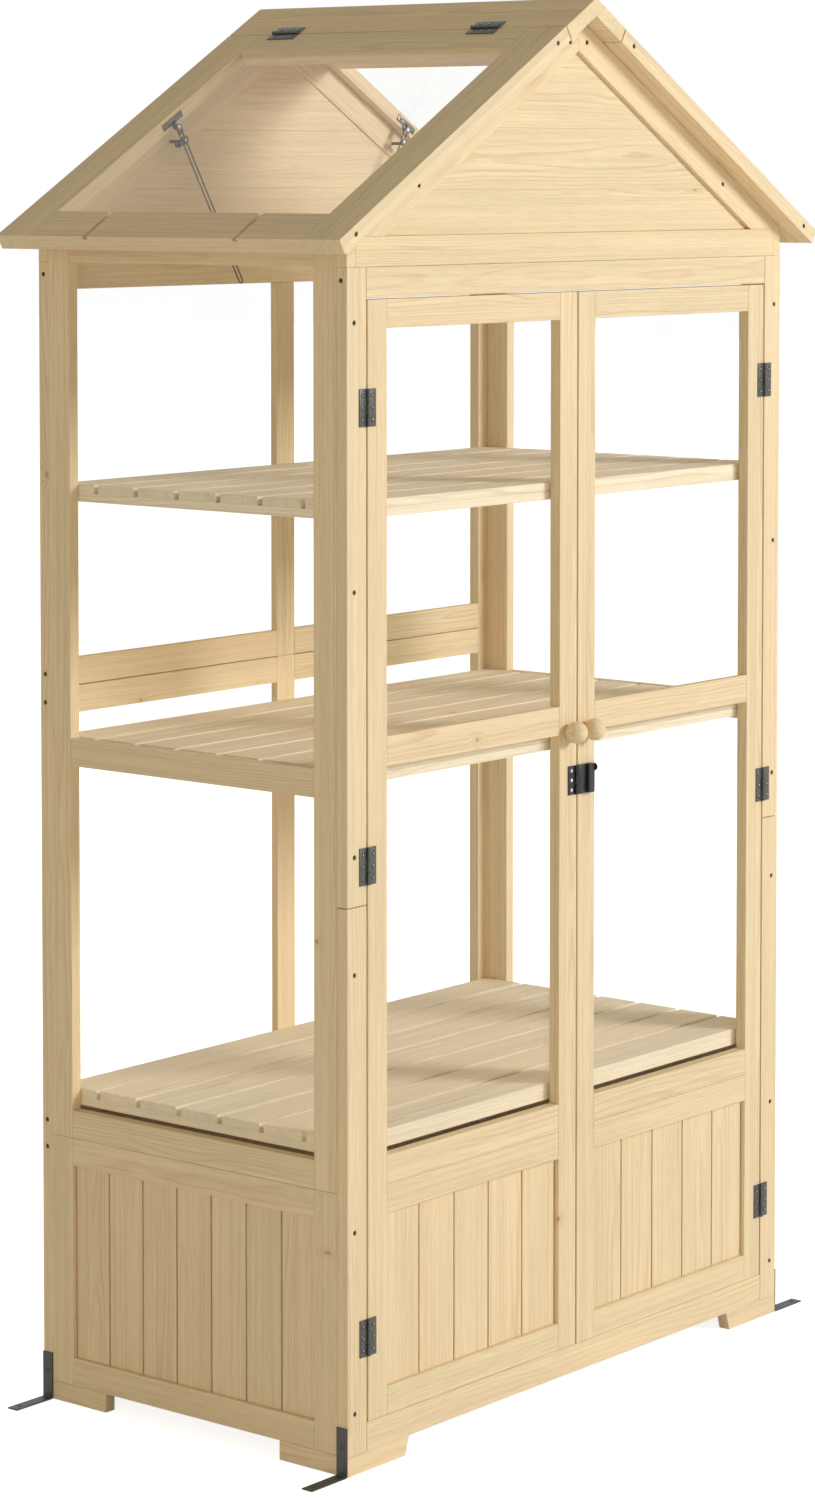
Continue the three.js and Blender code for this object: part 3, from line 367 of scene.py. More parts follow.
def handled_metal_group():
    """Soft smears and fine specks, for painted and plated metal."""
    tree, given, result = new_group("handled metal", "ShaderNodeTree", METAL_INPUTS, SURFACE)
    times, _, minus = sums(tree)
    place = node(tree, "ShaderNodeTexCoord").outputs["Object"]
    smear = noise(tree, place, given["Scale"], 4)[0]
    speck = noise(tree, place, times(given["Scale"], 14), 2)[0]
    worn = times(smooth_step(tree, smear, 0.5, 0.72), smooth_step(tree, speck, 0.4, 0.65))
    colour = blended(tree, worn, given["Base"], given["Worn"])
    offset = minus(smear, 0.5)
    rough = calc(tree, "MULTIPLY_ADD", offset, given["Spread"], given["Roughness"])
    return end_group(tree, result, colour, rough, speck)


GRAIN = pine_grain_group()
HANDLED = handled_metal_group()
GRAIN_RELIEF = 0.0004
METAL_RELIEF = 0.0002


def new_material(name, **values):
    """A material with its tree and its Principled shader, whose sockets get these values."""
    material = bpy.data.materials.new(name)
    material.use_nodes = True
    shader = material.node_tree.nodes["Principled BSDF"].inputs
    for label, value in values.items():
        shader[label.replace("_", " ")].default_value = value
    return material, material.node_tree, shader


def surfaced(made, group_tree, bump, relief, values):
    """Gives a new material the colour, roughness and relief of a shared group."""
    material, tree, shader = made
    group = node(tree, "ShaderNodeGroup", node_tree=group_tree)
    for label, value in values.items():
        group.inputs[label.replace("_", " ")].default_value = value
    inputs = {"Height": group.outputs["Height"], "Strength": bump, "Distance": relief}
    tree.links.new(group.outputs["Color"], shader["Base Color"])
    tree.links.new(group.outputs["Roughness"], shader["Roughness"])
    tree.links.new(node(tree, "ShaderNodeBump", inputs).outputs["Normal"], shader["Normal"])
    return material


def pine(name, bump, **values):
    made = new_material(name, Specular_IOR_Level=0.2)
    return surfaced(made, GRAIN, bump, GRAIN_RELIEF, values)


def metal(name, metallic, bump, **values):
    return surfaced(new_material(name, Metallic=metallic), HANDLED, bump, METAL_RELIEF, values)


def clear_sheet(name):
    """A thin clear sheet. Lamps shine through it."""
    looks = {"Base_Color": (0.995, 1.0, 0.997, 1), "Transmission_Weight": 1, "Roughness": 0, "IOR": 1.13}
    material, tree, _ = new_material(name, **looks)
    path = node(tree, "ShaderNodeLightPath").outputs
    through = calc(tree, "MAXIMUM", path["Is Shadow Ray"], path["Is Diffuse Ray"])
    clear = node(tree, "ShaderNodeBsdfTransparent", {"Color": (0.985, 0.99, 0.985, 1)}).outputs[0]
    sheet = tree.nodes["Principled BSDF"].outputs[0]
    both = node(tree, "ShaderNodeMixShader", {0: through, 1: sheet, 2: clear}).outputs[0]
    tree.links.new(both, tree.nodes["Material Output"].inputs["Surface"])
    return material


FRAME_PINE = pine("planed_pine", 0.25)
# The shelves' pine: stronger rings and fewer knots than the frame's, and paler colours that are painted
# light, standing in for the light that falls on the shelves through the glass.
SLAT_PINE_PAINTED_LIGHT = pine(
    "slat_pine",
    0.3,
    Ring_Strength=0.6,
    Knot_Share=0.04,
    Early_Wood=(0.95, 0.84, 0.66, 1),
    Late_Wood=(0.71, 0.52, 0.32, 1),
    Warm_Tone=(0.93, 0.79, 0.6, 1),
)
TURNED_PINE = pine("turned_pine", 0.15, Knot_Share=0.0, Ring_Strength=0.35)
BLACK = metal("black_paint", 0.2, 0.12, Base=(0.009, 0.009, 0.01, 1), Worn=(0.022, 0.022, 0.022, 1))
GUNMETAL = metal("gunmetal", 0.5, 0.12, Base=(0.078, 0.078, 0.075, 1), Worn=(0.1, 0.1, 0.095, 1))
DARK_SCREW = metal("dark_screw", 0.0, 0.1, Base=(0.004, 0.0035, 0.003, 1), Roughness=0.16, Spread=0.06)
# Hinge screw heads: light grey worn steel, made light also to paint in the glint of a lamp on each head.
WORN_HEAD_AND_GLINT = metal("worn_screw", 0.6, 0.1, Base=(0.4, 0.39, 0.37, 1), Roughness=0.3, Spread=0.1)
STRAP = metal("strap_paint", 0.3, 0.12, Base=(0.05, 0.05, 0.048, 1), Worn=(0.09, 0.09, 0.085, 1))
BRIGHT_SCREW = metal("bright_screw", 1.0, 0.1, Base=(0.62, 0.61, 0.6, 1), Roughness=0.3)
STEEL_COLOURS = {"Base": (0.15, 0.125, 0.11, 1), "Worn": (0.26, 0.235, 0.21, 1)}
STAY_STEEL = metal("stay_steel", 0.9, 0.12, **STEEL_COLOURS, Roughness=0.38)
PANE = clear_sheet("clear_pane")


# Solids
def extruded(outline, axis, ends):
    """A closed prism: an outline in the two other axes, carried from one end to the other."""
    others = [i for i in range(3) if i != axis]
    prism = bmesh.new()
    rings = []
    for end in ends:
        ring = []
        for point in outline:
            place = [0.0, 0.0, 0.0]
            place[axis] = end
            place[others[0]], place[others[1]] = point
            ring.append(prism.verts.new(place))
        rings.append(ring)
        prism.faces.new(ring)
    for i in range(len(outline)):
        j = (i + 1) % len(outline)
        prism.faces.new((rings[0][i], rings[0][j], rings[1][j], rings[1][i]))
    bmesh.ops.recalc_face_normals(prism, faces=prism.faces)
    return prism


def softened(solid, edge, segments=2):
    """Rounds every sharp edge of a solid."""
    bmesh.ops.bevel(
        solid,
        geom=[e for e in solid.edges if e.calc_face_angle(0) > SHARP],
        offset=edge,
        offset_type="OFFSET",
        segments=segments,
        profile=0.5,
        affect="EDGES",
        clamp_overlap=True,
    )
    return solid


def block(x, y, z):
    """A plain box from its ends along each axis."""
    return extruded([(x[0], y[0]), (x[1], y[0]), (x[1], y[1]), (x[0], y[1])], 2, z)


def turned(profile, segments):
    """A closed round solid about the Z axis, from (radius, height) points that end on it."""
    solid = bmesh.new()
    angles = [2 * math.pi * i / segments for i in range(segments)]
    rings = []
    for radius, height in profile:
        if radius == 0:
            rings.append([solid.verts.new((0, 0, height))])
            continue
        ring = [(radius * math.cos(a), radius * math.sin(a), height) for a in angles]
        rings.append([solid.verts.new(point) for point in ring])
    for low, high in zip(rings, rings[1:]):
        for i in range(segments):
            j = (i + 1) % segments
            corners = [low[i % len(low)], low[j % len(low)], high[j % len(high)], high[i % len(high)]]
            solid.faces.new(list(dict.fromkeys(corners)))
    bmesh.ops.recalc_face_normals(solid, faces=solid.faces)
    return solid


def cylinder(radius, ends, segments=ROUND_STEPS):
    """A round bar about Z with softened ends."""
    low, high = ends
    edge = METAL_EDGE
    side = [(radius - edge, low), (radius, low + edge), (radius, high - edge), (radius - edge, high)]
    return turned([(0, low), *side, (0, high)], segments)


def dome(radius, rise, segments=20, rings=5):
    """A low round rivet head standing on Z = 0."""
    profile = [(0, 0)]
    for i in range(rings):
        turn = math.pi / 2 * i / rings
        profile.append((radius * math.cos(turn), rise * math.sin(turn)))
    return turned([*profile, (0, rise)], segments)


def arc(centre, radius, start, end, steps=8):
    """Points on an arc between two angles in degrees."""
    turns = [math.radians(start + (end - start) * i / steps) for i in range(steps + 1)]
    return [(centre[0] + radius * math.cos(t), centre[1] + radius * math.sin(t)) for t in turns]


def as_mesh(solid, name="part"):
    if isinstance(solid, bpy.types.Mesh):
        return solid
    mesh = bpy.data.meshes.new(name)
    solid.to_mesh(mesh)
    solid.free()
    return mesh


def new_object(name, mesh):
    made = bpy.data.objects.new(name, mesh)
    bpy.context.scene.collection.objects.link(made)
    return made


def as_made(made):
    """The mesh that an object's modifiers give."""
    graph = bpy.context.evaluated_depsgraph_get()
    source = made.evaluated_get(graph)
    return bpy.data.meshes.new_from_object(source, preserve_all_data_layers=True, depsgraph=graph)


def cut_by(solid, cutters):
    """The mesh of a solid without what its cutters take away."""
    board = new_object("board", as_mesh(solid))
    tool = new_object("tool", as_mesh(cutters))
    cut = board.modifiers.new("cut", "BOOLEAN")
    cut.operation = "DIFFERENCE"
    cut.object = tool
    result = as_made(board)
    for used in (board, tool):
        bpy.data.objects.remove(used)
    return result


def bored(solid, holes):
    """The solid with a flat-bottomed hole at each (point, outward direction, radius, depth)."""
    cutters = bmesh.new()
    for point, outward, radius, depth in holes:
        turn = Vector(outward).to_track_quat("Z", "Y").to_matrix().to_4x4()
        bmesh.ops.create_cone(
            cutters,
            cap_ends=True,
            segments=HOLE_SIDES,
            radius1=radius,
            radius2=radius,
            depth=2 * depth,
            matrix=Matrix.Translation(point) @ turn,
        )
    return cut_by(solid, cutters)


# Pieces
LOG_LENGTH = 40
HEART_ASIDE = 0.045
HEART_DEPTH = (0.012, 0.07)


def from_middle(points, grain, face):
    """Each point along, across and through its board, from the middle of the board."""
    across = face.cross(grain)
    middle = sum(points, Vector()) / len(points)
    return [Vector(((p - middle) @ grain, (p - middle) @ across, (p - middle) @ face)) for p in points]


def screw_bottom(point, facing, matrix):
    """Where a sunk screw sits, and which way it faces, once its board is in place."""
    place = point - facing * SCREW_DEPTH
    return (matrix @ place, matrix.to_3x3() @ facing) if matrix else (place, facing)


class Piece:
    """Boards or metal parts that make one piece. A board also tells, in two attributes,
    where in its own log it was cut and how dark that log is."""

    def __init__(self, name, seed=0):
        self.name = name
        self.chance = random.Random(f"{name}{seed}")
        self.places = []
        self.faces = []
        self.smooth = []
        self.wood = []
        self.tone = []
        self.material_of = []
        self.materials = []
        self.sunk = []

    def add(self, solid, material, grain=None, face=None, smooth=False, matrix=None, holes=()):
        mesh = as_mesh(solid)
        if holes:
            mesh = bored(mesh, [(point, facing, SCREW_RADIUS, SCREW_DEPTH) for point, facing in holes])
            self.sunk += [screw_bottom(point, facing, matrix) for point, facing in holes]
        if material not in self.materials:
            self.materials.append(material)
        start = len(self.places)
        points = [vertex.co.copy() for vertex in mesh.vertices]
        if grain is None:
            self.wood += [Vector()] * len(points)
            self.tone += [0.5] * len(points)
        else:
            self.wood += self.log_places(points, grain, face)
            self.tone += [self.chance.random()] * len(points)
        self.places += [matrix @ p for p in points] if matrix else points
        for polygon in mesh.polygons:
            self.faces.append([start + i for i in polygon.vertices])
            self.smooth.append(smooth)
            self.material_of.append(self.materials.index(material))
        bpy.data.meshes.remove(mesh)

    def log_places(self, points, grain, face):
        """Each point along, across and through its board, from the heart of its log."""
        heart = Vector((
            self.chance.uniform(0, LOG_LENGTH),
            self.chance.uniform(-HEART_ASIDE, HEART_ASIDE),
            self.chance.choice((-1, 1)) * self.chance.uniform(*HEART_DEPTH),
        ))
        return [heart + place for place in from_middle(points, grain, face)]

    def board(self, x, y, z, grain, material=None, matrix=None, holes=()):
        """A straight board from its ends along each axis, with its grain along one of them."""
        ends = [sorted(reach) for reach in (x, y, z)]
        across = [i for i in range(3) if i != grain]
        thin = min(across, key=lambda i: ends[i][1] - ends[i][0])
        for i in range(3):
            if i != thin:
                ends[i] = (ends[i][0] + SEAM, ends[i][1] - SEAM)
        axes = (X_AXIS, Y_AXIS, Z_AXIS)
        solid = softened(block(*ends), EDGE)
        self.add(solid, material or FRAME_PINE, axes[grain], axes[thin], matrix=matrix, holes=holes)

    def plate(self, x, y, z, material, matrix, edge=METAL_EDGE):
        """A metal block with softened edges."""
        self.add(softened(block(sorted(x), y, z), edge), material, matrix=matrix)

    def bar(self, radius, ends, material, matrix, segments=ROUND_STEPS):
        """A round metal bar along Z."""
        self.add(cylinder(radius, ends, segments), material, smooth=True, matrix=matrix)

    def made(self, body, stands_for=(), slot="wood"):
        """The finished piece, riding on its body."""
        mesh = bpy.data.meshes.new(self.name)
        mesh.from_pydata(self.places, [], self.faces)
        mesh.polygons.foreach_set("use_smooth", self.smooth)
        mesh.polygons.foreach_set("material_index", self.material_of)
        for material in self.materials:
            mesh.materials.append(material)
        wood = mesh.attributes.new("wood", "FLOAT_VECTOR", "POINT")
        wood.data.foreach_set("vector", [value for place in self.wood for value in place])
        tone = mesh.attributes.new("tone", "FLOAT", "POINT")
        tone.data.foreach_set("value", self.tone)
        if any(self.smooth):
            mesh.set_sharp_from_angle(angle=SMOOTH_UP_TO)
        mesh.update()
        if self.sunk:
            size = (SCREW_RADIUS * SCREW_FIT, SCREW_DEPTH / 2)
            seed = len(self.sunk)
            screws(f"{self.name}_screws", self.sunk, size, seed, DARK_SCREW, body)
        return ready(new_object(self.name, mesh), body, stands_for)


def ready(made, body, stands_for):
    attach(made, body)
    if stands_for:
        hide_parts(*stands_for)
    return made


# Geometry groups: each starts with the object's own geometry and ends with one material
def new_geometry_group(name, **inputs):
    inputs = {"Geometry": "Geometry", **inputs, "Material": "Material"}
    group = new_group(name, "GeometryNodeTree", inputs, {"Geometry": "Geometry"})
    group[0].is_modifier = True
    return group


def shape(tree, kind, inputs, **settings):
    """Adds a geometry node and gives what it makes."""
    return node(tree, f"GeometryNode{kind}", inputs, **settings).outputs[0]


def instanced(tree, points, geometry, **inputs):
    inputs = {"Points": points, "Instance": geometry, **inputs}
    return shape(tree, "InstanceOnPoints", inputs)


def realized(tree, geometry):
    return shape(tree, "RealizeInstances", {"Geometry": geometry})


def with_material(tree, geometry, material):
    inputs = {"Geometry": geometry, "Material": material}
    return shape(tree, "SetMaterial", inputs)


def stored(tree, geometry, name, value, kind, domain):
    inputs = {"Geometry": geometry, "Name": name, "Value": value}
    kinds = {"data_type": kind, "domain": domain}
    return shape(tree, "StoreNamedAttribute", inputs, **kinds)


def named(tree, name):
    inputs = {"Name": name}
    return shape(tree, "InputNamedAttribute", inputs, data_type="FLOAT_VECTOR")


def row_group():
    """One board, repeated at an even pitch, each copy cut from a log of its own."""
    tree, given, result = new_geometry_group("row of copies", Count=2, Pitch="Vector", Seed=0)
    line_inputs = {"Count": given["Count"], "Offset": given["Pitch"]}
    line = shape(tree, "MeshLine", line_inputs, mode="OFFSET")
    copies = instanced(tree, line, given["Geometry"])
    each = {"ID": node(tree, "GeometryNodeInputIndex").outputs[0], "Seed": given["Seed"]}
    log_from = (0, -HEART_ASIDE, HEART_DEPTH[0])
    log_to = (LOG_LENGTH, HEART_ASIDE, HEART_DEPTH[1])
    log_inputs = {"Min": log_from, "Max": log_to, **each}
    log = node(tree, "FunctionNodeRandomValue", log_inputs, data_type="FLOAT_VECTOR").outputs[0]
    tone_inputs = {2: 0.0, 3: 1.0, **each}
    tone = node(tree, "FunctionNodeRandomValue", tone_inputs, data_type="FLOAT").outputs[1]
    copies = stored(tree, copies, "log", log, "FLOAT_VECTOR", "INSTANCE")
    copies = stored(tree, copies, "tone", tone, "FLOAT", "INSTANCE")
    place = vector_calc(tree, "ADD", named(tree, "wood"), named(tree, "log"))
    placed = stored(tree, realized(tree, copies), "wood", place, "FLOAT_VECTOR", "POINT")
    tidy = shape(tree, "RemoveAttribute", {"Geometry": placed, "Name": "log"})
    return end_group(tree, result, with_material(tree, tidy, given["Material"]))


def screws_group():
    """A cross-headed screw at every point of a mesh, facing as the point's attribute says."""
    tree, given, result = new_geometry_group("screws at points", Radius=0.003, Rise=0.0008, Seed=0)
    times, _, _ = sums(tree)
    radius, rise = given["Radius"], given["Rise"]
    ball_inputs = {"Segments": HEAD_SIDES, "Rings": HEAD_RINGS, "Radius": 1.0}
    ball = shape(tree, "MeshUVSphere", ball_inputs)
    flattened = {"Geometry": ball, "Scale": joined(tree, radius, radius, rise)}
    head = shape(tree, "Transform", flattened)
    cross = node(tree, "GeometryNodeMeshBoolean", {"Mesh 1": head}, operation="DIFFERENCE")
    wide = times(radius, CROSS_LENGTH)
    thin = times(radius, CROSS_WIDTH)
    deep = times(rise, CROSS_DEPTH)
    for size in ((wide, thin), (thin, wide)):
        slot = shape(tree, "MeshCube", {"Size": joined(tree, *size, deep)})
        raised = {"Geometry": slot, "Translation": joined(tree, z=rise)}
        slot = shape(tree, "Transform", raised)
        tree.links.new(slot, cross.inputs["Mesh 2"])
    turn_inputs = {2: 0.0, 3: math.pi / 2, "Seed": given["Seed"]}
    turn = node(tree, "FunctionNodeRandomValue", turn_inputs, data_type="FLOAT").outputs[1]
    aim = node(tree, "FunctionNodeAlignRotationToVector", {"Vector": named(tree, "facing")}, axis="Z")
    spin_inputs = {"Rotation": aim.outputs[0], "Rotate By": joined(tree, z=turn)}
    spin = node(tree, "FunctionNodeRotateRotation", spin_inputs, rotation_space="LOCAL").outputs[0]
    copies = instanced(tree, given["Geometry"], cross.outputs[0], Rotation=spin)
    return end_group(tree, result, with_material(tree, realized(tree, copies), given["Material"]))


ROW = row_group()
SCREWS = screws_group()


def grown(made, tree, **values):
    """Runs a geometry tree on an object with these inputs and keeps the plain mesh."""
    names = {
        item.name.replace(" ", "_"): item.identifier
        for item in tree.interface.items_tree
        if item.item_type == "SOCKET" and item.in_out == "INPUT"
    }
    modifier = made.modifiers.new(tree.name, "NODES")
    modifier.node_group = tree
    for label, value in values.items():
        modifier[names[label]] = value
    mesh = as_made(made)
    made.modifiers.remove(modifier)
    old = made.data
    made.data = mesh
    bpy.data.meshes.remove(old)
    mesh.name = made.name
    return made


def row(name, solid, grain, face, count, pitch, material, body, stands_for):
    """A row of like boards. The first one is given, and the rest follow at the pitch."""
    mesh = as_mesh(solid, name)
    wood = mesh.attributes.new("wood", "FLOAT_VECTOR", "POINT")
    places = from_middle([vertex.co for vertex in mesh.vertices], grain, face)
    for entry, place in zip(wood.data, places):
        entry.vector = place
    made = new_object(name, mesh)
    seed = BOARD_SEEDS[name]
    grown(made, ROW, Count=count, Pitch=tuple(pitch), Seed=seed, Material=material)
    return ready(made, body, stands_for)


def screws(name, places, size, seed, material, body):
    """Screw heads of one radius and rise, at (point, outward direction) places."""
    mesh = bpy.data.meshes.new(name)
    mesh.from_pydata([point for point, _ in places], [], [])
    facing = mesh.attributes.new("facing", "FLOAT_VECTOR", "POINT")
    facing.data.foreach_set("vector", [value for _, outward in places for value in outward])
    made = new_object(name, mesh)
    grown(made, SCREWS, Radius=size[0], Rise=size[1], Seed=seed, Material=material)
    return ready(made, body, ())


# Wooden walls
def wall(side):
    """Turns a span along a wall, and depths in from its outer face, into spans of x and y."""
    walls = {"front": (FRONT, 1), "back": (BACK, -1), "left": (LEFT, 1), "right": (RIGHT, -1)}
    outer, inward = walls[side]

    def place(along, depth):
        through = sorted(outer + inward * reach for reach in depth)
        return (along, through) if side in ("front", "back") else (through, along)

    return place


def wall_boards(piece, side, boards):
    """Adds boards, each with its span along the wall, depths, heights and grain axis."""
    place = wall(side)
    for along, depth, height, grain in boards:
        piece.board(*place(along, depth), height, grain)


def planks(name, side, along, height, count, body, node_name):
    """Upright planks, each with a tongue that reaches under the next one."""
    pitch = (along[1] - along[0]) / count
    place = wall(side)
    start = along[0] + PLANK_GROOVE / 2
    end = start + (pitch - PLANK_GROOVE)
    section = [
        (start, PLANK_RECESS),
        (end, PLANK_RECESS),
        (end, PLANK_RECESS + TONGUE),
        (start + pitch, PLANK_RECESS + TONGUE),
        (start + pitch, PLANK_RECESS + PLANK),
        (start, PLANK_RECESS + PLANK),
    ]
    outline = []
    for at, depth in section:
        x, y = place((at, at), (depth, depth))
        outline.append((x[0], y[0]))
    solid = softened(extruded(outline, 2, height), SOFT_EDGE / 2)
    across, face = (X_AXIS, Y_AXIS) if side in ("front", "back") else (Y_AXIS, X_AXIS)
    return row(name, solid, Z_AXIS, face, count, across * pitch, FRAME_PINE, body, [node_name])


def pane_opening(node_name, axis):
    low, high = span(node_name, axis)
    return low + PANE_BITE, high - PANE_BITE


def make_posts():
    for hand in HANDS:
        outer, sign = SIDES[hand], SIGNS[hand]
        x = (outer, outer - sign * (POST - DOOR_EASE))
        inset = outer - sign * SCREW_INSET
        depth, side_screw = POST_SIDE_SCREW
        post = Piece(f"{hand}_corner_post")
        for low, high in ((FOOT, POST_JOINT - BUTT_JOINT), (POST_JOINT + BUTT_JOINT, WALL)):
            heights = [z for z in POST_SCREWS if low < z < high]
            holes = [(Vector((inset, FRONT, z)), -Y_AXIS) for z in heights]
            if high == WALL:
                holes.append((Vector((outer, FRONT + depth, side_screw)), X_AXIS * sign))
            post.board(x, (FRONT, FRONT + BOARD), (low, high), 2, holes=holes)
        post.made("cabinet", [f"{hand}_post"])


def make_plinth():
    outline = [
        (LEFT, 0),
        (LEFT + FOOT_LENGTH, 0),
        (LEFT + FOOT_LENGTH + FOOT_TAPER, FOOT),
        (RIGHT - FOOT_LENGTH - FOOT_TAPER, FOOT),
        (RIGHT - FOOT_LENGTH, 0),
        (RIGHT, 0),
        (RIGHT, FOOT),
        (RIGHT - POST, FOOT),
        (RIGHT - POST, PLINTH),
        (LEFT + POST, PLINTH),
        (LEFT + POST, FOOT),
        (LEFT, FOOT),
    ]
    plinth = Piece("front_plinth_board")
    solid = softened(extruded(outline, 1, (FRONT, FRONT + BOARD)), EDGE)
    plinth.add(solid, FRAME_PINE, X_AXIS, Y_AXIS)
    plinth.made("cabinet", ["front_plinth"])


def make_base(hand):
    name = f"{hand}_base"
    near, far = SIDE_SPAN
    inside = (near + STILE, far - STILE)
    base = Piece(f"{name}_boards")
    wall_boards(base, hand, (
        ((near, inside[0]), THROUGH, (FOOT, BASE), 2),
        ((inside[1], far), THROUGH, (FOOT, BASE), 2),
        (inside, THROUGH, (FOOT, FOOT + RAIL), 1),
        (inside, THROUGH, (BASE - RAIL, BASE), 1),
        ((near, FRONT + FOOT_LENGTH), THROUGH, (0, FOOT), 1),
        ((BACK - FOOT_LENGTH, far), THROUGH, (0, FOOT), 1),
    ))
    base.made("cabinet", [name])
    planks(f"{name}_planks", hand, inside, (FOOT + RAIL, BASE - RAIL), SIDE_PLANKS, "cabinet", name)


def make_side(hand):
    pane = f"{hand}_side_pane"
    near, far = SIDE_SPAN
    inside = pane_opening(pane, 1)
    glazed = pane_opening(pane, 2)
    rail_top = span("middle_shelf", 2)[1]
    pane_face = span(pane, 0)[HANDS.index(hand)]
    in_front = (0, abs(pane_face - SIDES[hand]) - PANE_PLAY)
    side = Piece(f"{hand}_side_boards")
    wall_boards(side, hand, (
        ((near, inside[0]), THROUGH, (BASE, SIDE_TOP), 2),
        ((inside[1], far), THROUGH, (BASE, SIDE_TOP), 2),
        (inside, THROUGH, (BASE, glazed[0]), 1),
        (inside, THROUGH, (glazed[1], SIDE_TOP), 1),
        (inside, in_front, (rail_top - RAIL, rail_top), 1),
    ))
    side.made("cabinet", [f"{hand}_side_frame"])


def make_back():
    across = pane_opening("back_pane", 0)
    glazed = pane_opening("back_pane", 2)
    inner = (BACK - span("back_pane", 1)[0] + PANE_PLAY, BOARD)
    left_of_upright = (across[0], -STILE / 2)
    right_of_upright = (STILE / 2, across[1])
    upright = (-STILE / 2, STILE / 2)
    lower_rail = (BACK_JOINT - RAIL, BACK_JOINT - BUTT_JOINT)
    upper_rail = (BACK_JOINT + BUTT_JOINT, BACK_JOINT + RAIL)
    back = Piece("back_boards")
    for hand, along in (("left", (LEFT, across[0])), ("right", (across[1], RIGHT))):
        facing = X_AXIS * SIGNS[hand]
        holes = [(Vector((SIDES[hand], BACK - BACK_SCREW_INSET, z)), facing) for z in BACK_SCREWS]
        back.board(*wall("back")(along, THROUGH), (0, WALL), 2, holes=holes)
    wall_boards(back, "back", (
        ((across[0], LEFT + FOOT_LENGTH), THROUGH, (0, FOOT), 0),
        ((RIGHT - FOOT_LENGTH, across[1]), THROUGH, (0, FOOT), 0),
        (across, THROUGH, (FOOT, FOOT + RAIL), 0),
        (across, THROUGH, (BASE - RAIL, BASE), 0),
        (across, THROUGH, (BASE, glazed[0]), 0),
        (left_of_upright, inner, lower_rail, 0),
        (right_of_upright, inner, lower_rail, 0),
        (left_of_upright, inner, upper_rail, 0),
        (right_of_upright, inner, upper_rail, 0),
        (upright, inner, (glazed[0], BACK_JOINT), 2),
        (upright, inner, (BACK_JOINT, glazed[1]), 2),
        (across, THROUGH, (glazed[1], WALL), 0),
    ))
    back.made("cabinet", ["back_frame"])
    height = (FOOT + RAIL, BASE - RAIL)
    planks("back_base_planks", "back", across, height, BACK_PLANKS, "cabinet", "back_frame")


def make_gable(side):
    """A gable: its rail, two rakes under the slopes and level planks between them."""
    is_front = side == "front"
    outer, inward = (FRONT, 1) if is_front else (BACK, -1)
    y = sorted((outer, outer + inward * BOARD))
    corner = WALL + GABLE_CORNER
    rail_top = WALL + GABLE_RAIL
    inner_peak = PEAK - RAKE / math.cos(PITCH)
    half_base = (inner_peak - rail_top) / math.tan(PITCH)
    boards = Piece(f"{side}_gable_boards")
    if is_front:
        boards.board((LEFT + POST, RIGHT - POST), y, (DOOR_HEAD, WALL), 0)
    boards.board((LEFT + BOARD, RIGHT - BOARD), y, (WALL, rail_top), 0)
    for hand in HANDS:
        edge, sign = SIDES[hand], SIGNS[hand]
        outline = [
            (edge, corner),
            (0, PEAK),
            (0, inner_peak),
            (sign * half_base, rail_top),
            (edge - sign * BOARD, rail_top),
            (edge - sign * BOARD, WALL),
            (edge, WALL),
        ]
        slope = Vector((sign * math.cos(PITCH), 0, -math.sin(PITCH)))
        holes = []
        for reach in (RAKE_PEAK_SCREW, abs(edge) - RAKE_FOOT_SCREW) if is_front else ():
            z = PEAK - reach * math.tan(PITCH) - RAKE / 2 / math.cos(PITCH)
            holes.append((Vector((sign * reach, outer, z)), Y_AXIS * -inward))
        solid = softened(extruded(outline, 1, y), EDGE)
        boards.add(solid, FRAME_PINE, slope, Y_AXIS, holes=holes)
    boards.made("cabinet", [f"{side}_gable"])

    plank_faces = sorted((outer + inward * PLANK_RECESS, outer + inward * (PLANK_RECESS + PLANK)))
    field = Piece(f"{side}_gable_planks")
    levels = [rail_top, *(rail_top + line for line in GABLE_LINES), inner_peak]
    for low, high in zip(levels, levels[1:]):
        low_half = (inner_peak - low) / math.tan(PITCH)
        high_half = (inner_peak - high) / math.tan(PITCH)
        outline = [(-low_half, low), (low_half, low)]
        outline += [(high_half, high), (-high_half, high)] if high < inner_peak else [(0, high)]
        solid = softened(extruded(outline, 1, plank_faces), SOFT_EDGE)
        field.add(solid, FRAME_PINE, X_AXIS, Y_AXIS)
    field.made("cabinet", [f"{side}_gable"])


def make_ridge():
    """Two ridge boards, the left one lapped over the right one at the peak."""
    cosine, sine = math.cos(PITCH), math.sin(PITCH)
    upright = ROOF_BOARD / cosine
    across, down = RIDGE_BOARD * cosine, RIDGE_BOARD * sine
    edge_in, edge_down = ROOF_BOARD * sine, ROOF_BOARD * cosine
    under_peak = (0, RIDGE - upright)
    lap_end = (upright / 2 / math.tan(PITCH), RIDGE - upright / 2)
    left = [
        (0, RIDGE),
        (-across, RIDGE - down),
        (-across + edge_in, RIDGE - down - edge_down),
        under_peak,
        lap_end,
    ]
    right = [
        lap_end,
        under_peak,
        (across - edge_in, RIDGE - down - edge_down),
        (across, RIDGE - down),
    ]
    ridge = Piece("ridge_boards")
    for outline, sign in ((left, -1), (right, 1)):
        flat = Vector((sign * sine, 0, cosine))
        ridge.add(softened(extruded(outline, 1, ROOF_SPAN), EDGE), FRAME_PINE, Y_AXIS, flat)
    ridge.made("cabinet", ["ridge_cap"])


